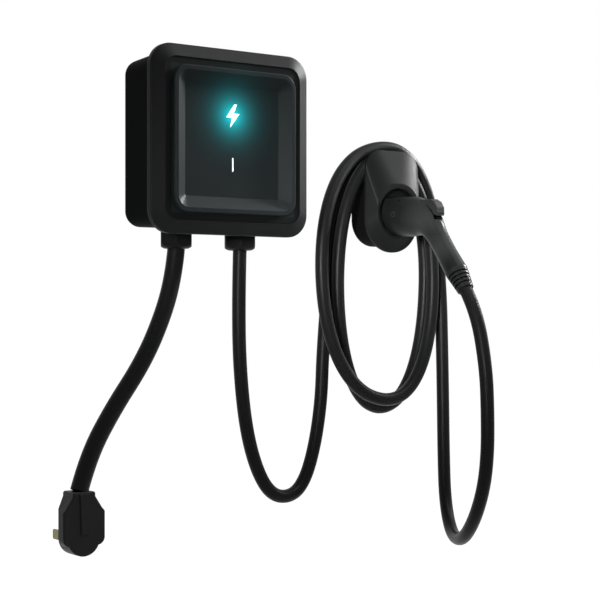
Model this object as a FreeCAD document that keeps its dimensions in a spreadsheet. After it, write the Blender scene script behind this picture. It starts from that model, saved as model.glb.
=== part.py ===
import FreeCAD, Part
import math
import os
import re
import Sketcher

# Wall-mounted car charger with a hanging coil of cable, a cable holster and a charging handle.
# Frame: the wall is the plane y = 0 and the charger stands out from it towards -Y.
# +X is to the right as seen from the front and +Z is up. Lengths are in millimetres.
# The origin is the middle of the wall box, on the wall. Depths are counted from the wall.

# Driving dimensions
SIZES = {
    # wall box: rear housing
    "rear_width": 216, "rear_corner": 20, "side_draft": 2.66, "rear_round": 14,
    "body_depth": 86, "shell_wall": 3.5, "back_wall": 4,
    # wall box: bezel round the front, each width counted inwards from the one outside it
    "bezel_overhang": 8, "bezel_corner": 30, "bezel_edge": 10, "bezel_edge_round": 2.2,
    "crest_slope": 16.5, "crest_corner": 18, "crest_rise": 7.6,
    "ledge_wide": 11.5, "ledge_corner": 10, "ledge_thick": 4,
    # wall box: dished front panel
    "panel_gap": 0.5, "panel_drop": 0.9, "shoulder_wide": 10.5, "rim_corner": 20, "rim_rise": 6.7,
    "rim_face": 6, "rim_round": 1.5, "dish_corner": 15, "dish_slope": 21.5, "floor_corner": 1.6,
    "floor_drop": 10.4, "floor_wall": 2.5, "panel_pocket_corner": 12, "rim_core_wall": 2.4,
    "rim_core_width": 5, "rim_core_roof": 5.3,
    # lamp and status bar in the panel
    "lamp_up": 34, "lamp_tall": 30, "lamp_wide": 20, "bar_down": 29, "bar_wide": 1.6, "bar_tall": 17.4,
    "lens_clear": 0.1, "lens_proud": 0.2, "lens_flange": 2, "lens_flange_thick": 1.2,
    # seal between housing and bezel
    "gasket_wide": 2.4, "gasket_thick": 1.8,
    # wall bracket and the recess that it sits in
    "bracket_width": 110, "bracket_height": 80, "bracket_thick": 2.5, "bracket_corner": 6,
    "bolt_wide": 80, "bolt_tall": 50, "bolt_hole": 6.5, "recess_depth": 6, "recess_clear": 2,
    "hook_wide": 14, "hook_spread": 56, "hook_up": 22, "hook_neck": 3, "hook_lip": 5, "hook_clear": 0.5,
    # columns, board posts and screws
    "column_inset": 13.2, "column_size": 13, "column_start": 8, "column_web": 3, "web_inset": 1.5,
    "web_start": 15, "web_short": 6, "screw_hole": 4.2, "screw_size": 4, "screw_long": 16,
    "head_size": 7.6, "head_thick": 3, "relief_size": 10, "relief_deep": 4.5,
    "post_inset_wide": 30, "post_inset_tall": 40, "post_size": 9, "post_end": 20,
    "small_screw": 3, "small_screw_hole": 3.2, "small_screw_long": 9, "small_head": 5.6,
    "small_head_thick": 2.2,
    # electronics, placed from the board's posts
    "board_rim": 8, "board_thick": 1.6,
    "relay_wide": 30, "relay_tall": 36, "relay_deep": 28, "relay_spread": 38, "relay_left": 14,
    "relay_gap": 7, "relay_round": 1.5,
    "sensor_size": 38, "sensor_bore": 20, "sensor_thick": 14, "sensor_lift": 44, "sensor_base": 5,
    "terminal_wide": 56, "terminal_tall": 24, "terminal_deep": 32, "terminal_lift": 16,
    "wire_size": 5.6, "wire_pitch": 12, "wire_bundle": 6.6, "thin_wire_bundle": 5.45, "entry_deep": 10,
    "entry_clear": 0.25,
    "supply_wide": 44, "supply_tall": 38, "supply_deep": 30, "supply_in": 28, "supply_drop": 19,
    "can_size": 16, "can_long": 30, "can_pitch": 19, "can_in": 40, "can_drop": 14,
    "control_wide": 46, "control_tall": 1.6, "control_deep": 34, "control_in": 28, "control_drop": 42,
    "ground_wide": 38, "ground_tall": 8, "ground_deep": 7, "ground_lift": 16,
    "led_board_wide": 110, "led_board_tall": 100, "led_board_gap": 6, "led_peg": 5, "led_peg_inset": 6,
    "led_size": 4, "led_thick": 1.4,
    # cable glands
    "gland_spread": 99, "gland_depth": 40, "gland_rise": 4.5, "gland_boss": 48, "thread_size": 32,
    "thread_hole": 32.4, "gland_flats": 40, "flange_thick": 6, "nut_gap": 0.2, "nut_tall": 17.8,
    "nut_round": 9, "nut_turned": 0.6, "nut_mouth_clear": 0.8, "nut_bore": 29.6, "nut_floor": 2.2,
    "spigot_size": 29, "spigot_long": 8, "locknut_flats": 40, "locknut_thick": 5.5, "thread_end": 17,
    # cords
    "power_size": 23, "charge_size": 18.5, "tail_up": 24, "core_straight": 3, "core_sink": 2,
    # coil: the oval ring round all of its turns
    "coil_outer_x": 297, "coil_outer_z": -169, "coil_outer_wide": 128, "coil_outer_tall": 200,
    "coil_inner_x": 306, "coil_inner_z": -171, "coil_inner_wide": 77, "coil_inner_tall": 168.5,
    "coil_back": 4.7, "coil_front": 59.3, "coil_thin": 32.6, "coil_slope_top": 36,
    "coil_slope_foot": -75, "coil_clear": 0.6,
    # plug: a narrow neck, sloping shoulders and a round foot, with a wider flange round its front
    "plug_x": -197, "plug_back": 39.5, "plug_thick": 28.5, "plug_top": 441, "plug_neck": 31,
    "plug_collar": 6, "plug_half": 22, "plug_shoulder": 22, "plug_tall": 80, "plug_round": 2.4,
    "plug_corner": 3, "flange_half": 28.8, "flange_back": 14, "flange_shoulder": 25, "flange_bend": 20,
    "flange_bend_half": 24.6, "flange_foot": 67, "flange_corner": 10,
    "cap_thick": 7, "cap_gap": 0.15, "ridge_high": 1.8, "ridge_top": 14.8, "ridge_foot": 11, "ridge_long": 53,
    "ridge_slope": -25, "blade_long": 31, "blade_thick": 2.3, "blade_corner": 3, "hot_wide": 12.5,
    "hot_spread": 26, "hot_down": 57, "blade_root": 8, "ground_size": 6.4, "ground_down": 40,
    "neutral_down": 68, "neutral_leg": 12, "ground_long": 34,
    # holster, measured from the middle of its socket
    "holster_x": 310.2, "holster_down": 76, "neck_half": 41.5, "neck_top": 72.6, "neck_foot": 47.5,
    "neck_corner": 38, "neck_depth": 38, "neck_wall": 3.5, "neck_back": 4, "neck_flange": 2.4,
    "shield_half": 47.8, "shield_top": 89, "shield_corner": 28, "shield_edge": 4, "shield_wall": 2.6,
    "nose_half": 38.2, "nose_corner": 35, "nose_top": 41, "shield_rise": 15.6, "socket_mouth": 71,
    "fit_gap": 0.3, "keyhole_up": 52, "keyhole_size": 9, "keyhole_slot": 4.5, "keyhole_rise": 7,
    "wall_hole": 5.5, "wall_hole_half": 13, "pillar_size": 8, "pillar_half": 27, "pillar_up": 53,
    "pillar_deep": 11, "foot_pillar": 26.5, "foot_pillar_down": 33, "foot_pillar_deep": 11.3,
    "counterbore": 6.4,
    # socket cup
    "cup_size": 70.4, "cup_wall": 1.2, "cup_deep": 12, "cup_floor": 2.2, "nose_play": 0.8,
    "barrel_wall": 1.8, "barrel_down": 9.5, "barrel_ear": 3, "barrel_ear_size": 8, "ear_long": 12,
    "latch_slot": 14, "slot_rise": 7.4, "ridge_near": 37.2, "ridge_deep": 4, "ridge_wide": 12,
    "ridge_rise": 1.7,
    # connector nose and contacts
    "face_depth": 47, "nose_tube": 43.8, "nose_wall": 2.4, "nose_long": 40.5, "nose_inside": 6,
    "ear_reach": 2.3, "ear_thick": 2.2, "ear_low": -30, "ear_high": 11.6, "carrier_gap": 0.2,
    "carrier_short": 6, "carrier_back": 9, "power_contact": 8, "power_hole": 4.2, "signal_contact": 5,
    "signal_hole": 2.6, "power_spread": 15.7, "power_up": 6.8, "signal_spread": 21.3, "signal_down": 5.6,
    "earth_down": 10.6, "contact_in": 3,
    # connector shells: the end of the grip is where the boot starts
    "head_half": 28, "handle_wall": 3, "grip_tilt": 53.6, "split_gap": 0.1, "seat_size": 7,
    "grip_out": 181.5, "grip_up": -87.5, "head_screw_out": 84, "head_screw_up": -29,
    "grip_screw_out": 161, "grip_screw_up": -61.4,
    # latch
    "lever_wide": 9, "pivot_out": 78, "pivot_up": 13, "pin_size": 3, "pin_gap": 0.05, "pivot_seat": 8,
    "button_wide": 14, "button_gap": 0.7, "lever_gap": 0.6, "lever_front": 31.5, "lever_rise": 4.7,
    "spring_out": 120, "spring_foot": -9.4, "spring_top": 2.6, "spring_size": 5, "spring_wire": 0.9,
    "spring_turns": 5, "pivot_pin_half": 12, "pin_end_gap": 0.5, "shell_screw_long": 9, "shell_screw_seat": 6,
    "switch_out": 101, "switch_top": 3.4, "switch_tall": 9, "switch_long": 10, "switch_wide": 6,
    "plunger_size": 2.4, "plunger_long": 2, "plunger_in": 0.5, "shelf_thick": 3,
    # boot at the end of the grip
    "boot_start": 15.8, "boot_end": 11.6, "boot_long": 31, "boot_spigot": 10, "boot_spigot_size": 25,
    "groove_wide": 2.2, "groove_deep": 1.6, "groove_pitch": 5.6, "groove_first": 6.5, "tail_inside": 14,
}

# Oval sections of the connector's shell, from the socket to the boot. Each has its distance out from
# the wall, its height over the socket's middle, half its height and width, and its tilt downwards.
SECTIONS = [
    (47, -2.6, 30.2, 27.5, 0),
    (60, -3.6, 30.6, 27.6, 1),
    (76, -5.4, 30.2, 27.2, 4),
    (94, -8.2, 28.2, 25.2, 12),
    (112, -12.8, 25.3, 21.4, 26),
    (128, -21.2, 20.1, 17.4, 42),
    (138.4, -33.4, 16.2, 15, 53),
    (147, -44.4, 15, 14.2, 53.6),
    (156, -56, 14.8, 14.1, 53.6),
    (165, -67.4, 15, 14.4, 53.6),
    (174, -78.4, 15.4, 14.9, 53.6),
    (181.5, -87.5, 15.8, 15.4, 53.6),
]
for number, (out, up, tall, wide, tilt) in enumerate(SECTIONS):
    SIZES[f"section_{number}_out"] = out
    SIZES[f"section_{number}_up"] = up
    SIZES[f"section_{number}_tall"] = tall
    SIZES[f"section_{number}_wide"] = wide

document = FreeCAD.newDocument("car_charger")
sheet = document.addObject("Spreadsheet::Sheet", "Sizes")
for row, (alias, number) in enumerate(SIZES.items(), start=1):
    sheet.set(f"A{row}", str(number))
    sheet.setAlias(f"A{row}", alias)
document.recompute()

parts = {}


def cell(text):
    """Turns the names in a formula into cells of the sheet."""
    def full_name(match):
        return "Sizes." + match.group() if match.group() in SIZES else match.group()

    return re.sub(r"[a-z][a-z0-9_]*", full_name, text)


def value(text):
    """The number that a formula gives with the sheet's present sizes."""
    result = sheet.evalExpression(cell(text))
    return float(getattr(result, "Value", result))


def bind(item, name, text):
    """Ties one property of an object to a formula of the sheet."""
    item.setExpression(name, cell(text))


def place(item, x="0", y="0", z="0"):
    """Ties an object's position to three formulas."""
    bind(item, "Placement.Base.x", x)
    bind(item, "Placement.Base.y", y)
    bind(item, "Placement.Base.z", z)


def keep(label, item):
    """Names a finished piece, so that it is written to its own file."""
    item.Label = label
    parts[label] = item
    return item


# Sketches and features of the moulded bodies
def new_body(label, x="0", y="0", z="0"):
    body = document.addObject("PartDesign::Body", "Body_" + label)
    place(body, x, y, z)
    return keep(label, body)


def sketch_on(body, role, name, offset="0"):
    """A sketch on one of the body's own planes, moved along the plane's normal."""
    sketch = body.newObject("Sketcher::SketchObject", name)
    plane = next(f for f in body.Origin.OriginFeatures if f.Role == role)
    sketch.AttachmentSupport = [(plane, "")]
    sketch.MapMode = "FlatFace"
    bind(sketch, "AttachmentOffset.Base.z", offset)
    return sketch


def front_sketch(body, name, depth="0"):
    """A sketch parallel to the wall, at a depth in front of it."""
    return sketch_on(body, "XZ_Plane", name, depth)


def measure(sketch, kind, text, *ends):
    """Adds one dimension that follows a formula."""
    index = sketch.addConstraint(Sketcher.Constraint(kind, *ends, value(text)))
    name = f"size_{index}"
    sketch.renameConstraint(index, name)
    bind(sketch, "Constraints." + name, text)


def pin_point(sketch, geometry, end, x=None, y=None):
    """Holds a point at a formula's distance from the sketch's origin."""
    for kind, text, axis in (("DistanceX", x, -2), ("DistanceY", y, -1)):
        if text is None:
            continue
        if abs(value(text)) < 1e-9:
            sketch.addConstraint(Sketcher.Constraint("PointOnObject", geometry, end, axis))
        elif value(text) > 0:
            measure(sketch, kind, text, -1, 1, geometry, end)
        else:
            measure(sketch, kind, f"-({text})", geometry, end, -1, 1)


def polygon(sketch, corners):
    """A closed outline of straight sides through corners given as formulas."""
    points = [FreeCAD.Vector(value(x), value(y), 0) for x, y in corners]
    first = sketch.GeometryCount
    count = len(points)
    for k in range(count):
        sketch.addGeometry(Part.LineSegment(points[k], points[(k + 1) % count]), False)
    for k in range(count):
        sketch.addConstraint(Sketcher.Constraint("Coincident", first + k, 2, first + (k + 1) % count, 1))
    for k, (x, y) in enumerate(corners):
        pin_point(sketch, first + k, 1, x, y)


def circle(sketch, x, y, radius):
    centre = FreeCAD.Vector(value(x), value(y), 0)
    index = sketch.addGeometry(Part.Circle(centre, FreeCAD.Vector(0, 0, 1), value(radius)), False)
    measure(sketch, "Radius", radius, index)
    pin_point(sketch, index, 3, x, y)


def rounded(sketch, left, right, foot, top, corner):
    """A rectangle with four equal round corners, its sides given as formulas."""
    x0, x1, z0, z1, r = (value(text) for text in (left, right, foot, top, corner))
    first = sketch.GeometryCount
    runs = [((x0 + r, z0), (x1 - r, z0)), ((x1, z0 + r), (x1, z1 - r)),
            ((x1 - r, z1), (x0 + r, z1)), ((x0, z1 - r), (x0, z0 + r))]
    for start, end in runs:
        sketch.addGeometry(Part.LineSegment(FreeCAD.Vector(*start, 0), FreeCAD.Vector(*end, 0)), False)
    centres = [(x1 - r, z0 + r), (x1 - r, z1 - r), (x0 + r, z1 - r), (x0 + r, z0 + r)]
    for k, (x, z) in enumerate(centres):
        full = Part.Circle(FreeCAD.Vector(x, z, 0), FreeCAD.Vector(0, 0, 1), r)
        start = math.radians(90 * k - 90)
        sketch.addGeometry(Part.ArcOfCircle(full, start, start + math.pi / 2), False)
    for k in range(4):
        arc = first + 4 + k
        sketch.addConstraint(Sketcher.Constraint("Tangent", first + k, 2, arc, 1))
        sketch.addConstraint(Sketcher.Constraint("Tangent", arc, 2, first + (k + 1) % 4, 1))
        if k:
            sketch.addConstraint(Sketcher.Constraint("Equal", first + 4, arc))
    for k in (0, 2):
        sketch.addConstraint(Sketcher.Constraint("Horizontal", first + k))
        sketch.addConstraint(Sketcher.Constraint("Vertical", first + k + 1))
    measure(sketch, "Radius", corner, first + 4)
    pin_point(sketch, first, 1, None, foot)
    pin_point(sketch, first + 1, 1, right, None)
    pin_point(sketch, first + 2, 1, None, top)
    pin_point(sketch, first + 3, 1, left, None)


def rounded_square(sketch, half, corner):
    rounded(sketch, f"-({half})", half, f"-({half})", half, corner)


def arch_outline(sketch, half, flat, corner, middle="0", up=1):
    """Straight sides between a flat end with round corners and a half-round end."""
    w, f, r, c = (value(text) for text in (half, flat, corner, middle))
    first = sketch.GeometryCount

    def line(x0, z0, x1, z1):
        sketch.addGeometry(Part.LineSegment(FreeCAD.Vector(x0, z0, 0), FreeCAD.Vector(x1, z1, 0)), False)

    def arc(x, z, radius, start, end):
        if up < 0:
            start, end = -end, -start
        full = Part.Circle(FreeCAD.Vector(x, z, 0), FreeCAD.Vector(0, 0, 1), radius)
        sketch.addGeometry(Part.ArcOfCircle(full, math.radians(start), math.radians(end)), False)

    line(w, c, w, f - up * r)
    arc(w - r, f - up * r, r, 0, 90)
    line(w - r, f, r - w, f)
    arc(r - w, f - up * r, r, 90, 180)
    line(-w, f - up * r, -w, c)
    arc(0, c, w, 180, 360)
    into, out = (1, 2) if up > 0 else (2, 1)
    for line_in, arc_between, line_out in ((0, 1, 2), (2, 3, 4), (4, 5, 0)):
        sketch.addConstraint(Sketcher.Constraint("Tangent", first + line_in, 2, first + arc_between, into))
        sketch.addConstraint(Sketcher.Constraint("Tangent", first + arc_between, out, first + line_out, 1))
    sketch.addConstraint(Sketcher.Constraint("Vertical", first))
    sketch.addConstraint(Sketcher.Constraint("Horizontal", first + 2))
    sketch.addConstraint(Sketcher.Constraint("Equal", first + 1, first + 3))
    measure(sketch, "Radius", corner, first + 1)
    measure(sketch, "Radius", half, first + 5)
    pin_point(sketch, first + 5, 3, "0", middle)
    pin_point(sketch, first + 2, 1, None, flat)


def pad(body, sketch, length, taper=None, backwards=False):
    feature = body.newObject("PartDesign::Pad", "Pad_" + sketch.Name)
    feature.Profile = sketch
    bind(feature, "Length", length)
    if taper:
        bind(feature, "TaperAngle", taper)
    feature.Reversed = backwards
    return feature


def pocket(body, sketch, length, taper=None, backwards=False):
    """Cuts away from the viewer, into the body, unless it is turned round."""
    feature = body.newObject("PartDesign::Pocket", "Pocket_" + sketch.Name)
    feature.Profile = sketch
    bind(feature, "Length", length)
    if taper:
        bind(feature, "TaperAngle", taper)
    feature.Reversed = backwards
    return feature


def loft(body, kind, first, *others):
    feature = body.newObject("PartDesign::" + kind, kind + "_" + first.Name)
    feature.Profile = first
    feature.Sections = list(others)
    feature.Ruled = True
    return feature


def round_edges(body, base, size, wanted):
    """Rounds those edges of the last feature that the test picks out."""
    document.recompute()
    names = [f"Edge{k}" for k, edge in enumerate(base.Shape.Edges, start=1) if wanted(edge)]
    feature = body.newObject("PartDesign::Fillet", "Fillet_" + base.Name)
    feature.Base = (base, names)
    bind(feature, "Radius", size)
    return feature


def at_depth(edge, text):
    """True for an edge that lies wholly in the plane at that depth in front of the wall."""
    box = edge.BoundBox
    return abs(box.YMin + value(text)) < 0.01 and abs(box.YMax + value(text)) < 0.01


# Plain solids
def box(name, wide, deep, tall, x, near, z):
    """A block centred at x and z, whose back lies at the depth called near."""
    item = document.addObject("Part::Box", name)
    bind(item, "Length", wide)
    bind(item, "Width", deep)
    bind(item, "Height", tall)
    place(item, f"({x}) - ({wide}) / 2", f"-({near}) - ({deep})", f"({z}) - ({tall}) / 2")
    return item


def rod(name, radius, length, x, y, z, along=(0, 0, 1)):
    """A cylinder from a point along a direction."""
    item = document.addObject("Part::Cylinder", name)
    bind(item, "Radius", radius)
    bind(item, "Height", length)
    place(item, x, y, z)
    item.Placement.Rotation = FreeCAD.Rotation(FreeCAD.Vector(0, 0, 1), FreeCAD.Vector(*along))
    return item


def prism(name, flats, length, x, y, z):
    """An upright six-sided bar, sized across its flats."""
    item = document.addObject("Part::Prism", name)
    item.Polygon = 6
    bind(item, "Circumradius", f"({flats}) / sqrt(3)")
    bind(item, "Height", length)
    place(item, x, y, z)
    return item


def cut(name, base, *tools):
    item = document.addObject("Part::Cut", name)
    item.Base = base
    item.Tool = tools[0] if len(tools) == 1 else fuse(name + "_tools", *tools)
    return item


def fuse(name, *shapes):
    item = document.addObject("Part::MultiFuse", name)
    item.Shapes = list(shapes)
    return item


def common(name, *shapes):
    item = document.addObject("Part::MultiCommon", name)
    item.Shapes = list(shapes)
    return item


def group(name, *shapes):
    item = document.addObject("Part::Compound", name)
    item.Links = list(shapes)
    return item


def soften(name, base, size, wanted):
    """Rounds those edges of a plain solid that the test picks out."""
    document.recompute()
    item = document.addObject("Part::Fillet", name)
    item.Base = base
    radius = value(size)
    item.Edges = [(k, radius, radius) for k, e in enumerate(base.Shape.Edges, start=1) if wanted(e)]
    return item


def shape_part(name, shape):
    """A piece whose shape is worked out by this file's own functions."""
    item = document.addObject("Part::Feature", name)
    item.Shape = shape
    return item


CORNERS = [(1, 1), (-1, 1), (-1, -1), (1, -1)]

# Formulas that several pieces share
REAR_HALF = "(rear_width / 2)"
FRONT_HALF = "(rear_width / 2 + body_depth * tan(side_draft))"
BEZEL_HALF = f"({FRONT_HALF} + bezel_overhang)"
CREST_HALF = f"({BEZEL_HALF} - crest_slope)"
LEDGE_HALF = f"({CREST_HALF} - ledge_wide)"
RIM_HALF = f"({CREST_HALF} - shoulder_wide)"
FLOOR_HALF = f"({RIM_HALF} - dish_slope)"
COLUMN = f"({REAR_HALF} - column_inset)"
WEB_END = f"({REAR_HALF} - web_inset)"
POST_X = f"({REAR_HALF} - post_inset_wide)"
POST_Z = f"({REAR_HALF} - post_inset_tall)"
GLAND_SEAT = f"({REAR_HALF} + gland_rise)"
FRONT_CORNER = "(rear_corner + body_depth * tan(side_draft))"
BEZEL_FRONT = "(body_depth + bezel_edge)"
CREST_DEPTH = "(body_depth + bezel_edge + crest_rise)"
SHOULDER_DEPTH = "(body_depth + bezel_edge + crest_rise - panel_drop)"
RIM_DEPTH = "(body_depth + bezel_edge + crest_rise - panel_drop + rim_rise)"
FLOOR_DEPTH = "(body_depth + bezel_edge + crest_rise - panel_drop + rim_rise - floor_drop)"
FLOOR_BACK = "(body_depth + bezel_edge + crest_rise - panel_drop + rim_rise - floor_drop - floor_wall)"
PANEL_BACK = "(body_depth + ledge_thick)"
BOARD_FRONT = "(post_end + board_thick)"
TERMINAL_UP = f"(terminal_lift - {POST_Z})"
SUPPLY_UP = f"({POST_Z} - supply_drop)"
PAN_FRONT = "(recess_depth + back_wall)"
PAN_HALF_WIDE = "(bracket_width / 2 + recess_clear)"
PAN_HALF_TALL = "(bracket_height / 2 + recess_clear)"


# Wall bracket: a folded plate with four bolt holes and two hooks that the box hangs on
def make_wall_bracket():
    body = new_body("wall_bracket")
    plate = front_sketch(body, "bracket_plate")
    rounded(plate, "-bracket_width / 2", "bracket_width / 2", "-bracket_height / 2", "bracket_height / 2",
            "bracket_corner")
    for sx, sz in CORNERS:
        circle(plate, f"{sx} * bolt_wide / 2", f"{sz} * bolt_tall / 2", "bolt_hole / 2")
    pad(body, plate, "bracket_thick")
    necks = front_sketch(body, "bracket_necks", "bracket_thick")
    lips = front_sketch(body, "bracket_lips", "recess_depth + back_wall + hook_clear")
    for side in (-1, 1):
        left = f"({side} * hook_spread / 2 - hook_wide / 2)"
        right = f"({side} * hook_spread / 2 + hook_wide / 2)"
        polygon(necks, [(left, "hook_up - hook_neck"), (right, "hook_up - hook_neck"), (right, "hook_up"),
                        (left, "hook_up")])
        polygon(lips, [(left, "hook_up - hook_neck"), (right, "hook_up - hook_neck"),
                       (right, "hook_up + hook_lip"), (left, "hook_up + hook_lip")])
    pad(body, necks, "recess_depth + back_wall + hook_clear - bracket_thick")
    pad(body, lips, "bracket_thick")
    return body


# Rear housing: a drafted, open-fronted moulding with a stepped back
def make_rear_housing():
    body = new_body("rear_housing")
    outline = front_sketch(body, "housing_outline")
    rounded_square(outline, REAR_HALF, "rear_corner")
    block = pad(body, outline, "body_depth", "side_draft")
    round_edges(body, block, "rear_round", lambda edge: at_depth(edge, "0"))

    seats = sketch_on(body, "XY_Plane", "gland_seats", f"-{GLAND_SEAT}")
    for side in (-1, 1):
        circle(seats, f"{side} * gland_spread / 2", "-gland_depth", "gland_boss / 2")
    pad(body, seats, "gland_rise + shell_wall")

    mouth = front_sketch(body, "housing_mouth", "body_depth")
    rounded_square(mouth, f"{FRONT_HALF} - shell_wall", f"{FRONT_CORNER} - shell_wall")
    pocket(body, mouth, f"body_depth - {PAN_FRONT}", "-side_draft")
    deep = front_sketch(body, "housing_deep", PAN_FRONT)
    rounded_square(deep, f"{REAR_HALF} - shell_wall - rear_round / 2", "rear_corner - shell_wall")
    rounded(deep, f"-{PAN_HALF_WIDE} - back_wall", f"{PAN_HALF_WIDE} + back_wall",
            f"-{PAN_HALF_TALL} - back_wall", f"{PAN_HALF_TALL} + back_wall", "bracket_corner + back_wall")
    pocket(body, deep, "recess_depth")

    recess = front_sketch(body, "bracket_recess")
    rounded(recess, f"-{PAN_HALF_WIDE}", PAN_HALF_WIDE, f"-{PAN_HALF_TALL}", PAN_HALF_TALL, "bracket_corner")
    pocket(body, recess, "recess_depth", None, True)
    slots = front_sketch(body, "hook_slots")
    for side in (-1, 1):
        left = f"({side} * hook_spread / 2 - hook_wide / 2 - hook_clear)"
        right = f"({side} * hook_spread / 2 + hook_wide / 2 + hook_clear)"
        polygon(slots, [(left, "hook_up - hook_neck - hook_lip - hook_clear"),
                        (right, "hook_up - hook_neck - hook_lip - hook_clear"), (right, "hook_up"),
                        (left, "hook_up")])
    pocket(body, slots, f"{PAN_FRONT} + 1", None, True)

    columns = front_sketch(body, "screw_columns", "column_start")
    for sx, sz in CORNERS:
        circle(columns, f"{sx} * {COLUMN}", f"{sz} * {COLUMN}", "column_size / 2")
    pad(body, columns, "body_depth - column_start")
    webs = front_sketch(body, "column_webs", "web_start")
    for sx, sz in CORNERS:
        polygon(webs, [(f"{sx} * {WEB_END}", f"{sz} * ({COLUMN} - column_web / 2)"),
                       (f"{sx} * {WEB_END}", f"{sz} * ({COLUMN} + column_web / 2)"),
                       (f"{sx} * {COLUMN}", f"{sz} * ({COLUMN} + column_web / 2)"),
                       (f"{sx} * {COLUMN}", f"{sz} * ({COLUMN} - column_web / 2)")])
    pad(body, webs, "body_depth - web_start - web_short")
    posts = front_sketch(body, "board_posts", "back_wall / 2")
    for sx, sz in CORNERS:
        circle(posts, f"{sx} * {POST_X}", f"{sz} * {POST_Z}", "post_size / 2")
    pad(body, posts, "post_end - back_wall / 2")
    screws = front_sketch(body, "column_holes", "body_depth")
    for sx, sz in CORNERS:
        circle(screws, f"{sx} * {COLUMN}", f"{sz} * {COLUMN}", "screw_hole / 2")
    pocket(body, screws, "screw_long")
    pilots = front_sketch(body, "post_holes", "post_end")
    for sx, sz in CORNERS:
        circle(pilots, f"{sx} * {POST_X}", f"{sz} * {POST_Z}", "small_screw_hole / 2")
    pocket(body, pilots, "small_screw_long")
    glands = sketch_on(body, "XY_Plane", "gland_holes", f"-{GLAND_SEAT}")
    for side in (-1, 1):
        circle(glands, f"{side} * gland_spread / 2", "-gland_depth", "thread_hole / 2")
    pocket(body, glands, "gland_rise + shell_wall + 1", None, True)
    return body


# Seal: a flat ring in a groove behind the bezel, against the housing's mouth
def make_gasket():
    body = new_body("housing_gasket")
    ring = front_sketch(body, "gasket_ring", "body_depth")
    gasket_outline(ring)
    pad(body, ring, "gasket_thick")
    return body


def gasket_outline(sketch):
    middle = f"({FRONT_HALF} - shell_wall / 2)"
    corner = f"({FRONT_CORNER} - shell_wall / 2)"
    rounded_square(sketch, f"{middle} + gasket_wide / 2", f"{corner} + gasket_wide / 2")
    rounded_square(sketch, f"{middle} - gasket_wide / 2", f"{corner} - gasket_wide / 2")


# Bezel: a square frame whose face rises to a crest, with a ledge inside for the panel
def make_front_bezel():
    body = new_body("front_bezel")
    outline = front_sketch(body, "bezel_outline", "body_depth")
    rounded_square(outline, BEZEL_HALF, "bezel_corner")
    pad(body, outline, "bezel_edge")
    foot = front_sketch(body, "band_foot", BEZEL_FRONT)
    rounded_square(foot, BEZEL_HALF, "bezel_corner")
    crest = front_sketch(body, "band_crest", CREST_DEPTH)
    rounded_square(crest, CREST_HALF, "crest_corner")
    band = loft(body, "AdditiveLoft", foot, crest)
    round_edges(body, band, "bezel_edge_round",
                lambda edge: at_depth(edge, BEZEL_FRONT) or at_depth(edge, "body_depth"))
    seat = front_sketch(body, "panel_seat", CREST_DEPTH)
    rounded_square(seat, f"{CREST_HALF} - bezel_edge_round / 4", "crest_corner - bezel_edge_round / 4")
    pocket(body, seat, f"{CREST_DEPTH} - {PANEL_BACK}")
    opening = front_sketch(body, "ledge_opening", PANEL_BACK)
    rounded_square(opening, LEDGE_HALF, "ledge_corner")
    pocket(body, opening, "ledge_thick")
    groove = front_sketch(body, "gasket_groove", "body_depth")
    gasket_outline(groove)
    pocket(body, groove, "gasket_thick", None, True)
    holes = front_sketch(body, "bezel_holes", PANEL_BACK)
    for sx, sz in CORNERS:
        circle(holes, f"{sx} * {COLUMN}", f"{sz} * {COLUMN}", "screw_hole / 2")
    pocket(body, holes, "ledge_thick")
    return body


# Corners of the lightning bolt, as shares of its width and height
LAMP = [("0.12", "0.5"), ("-0.5", "-0.08"), ("-0.06", "-0.08"), ("-0.2", "-0.5"), ("0.5", "0.1"),
        ("0.06", "0.1"), ("0.32", "0.5")]


def lamp_outline(sketch, grow="0"):
    """A plain lightning bolt, the usual sign for electric power."""
    polygon(sketch, [(f"{x} * (lamp_wide + 2 * ({grow}))", f"lamp_up + {z} * (lamp_tall + 2 * ({grow}))")
                     for x, z in LAMP])


def bar_outline(sketch, grow="0"):
    half = f"(bar_wide / 2 + ({grow}))"
    rounded(sketch, f"-{half}", half, f"-bar_down - bar_tall / 2 - ({grow})",
            f"-bar_down + bar_tall / 2 + ({grow})", f"{half} * 0.9")


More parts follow.
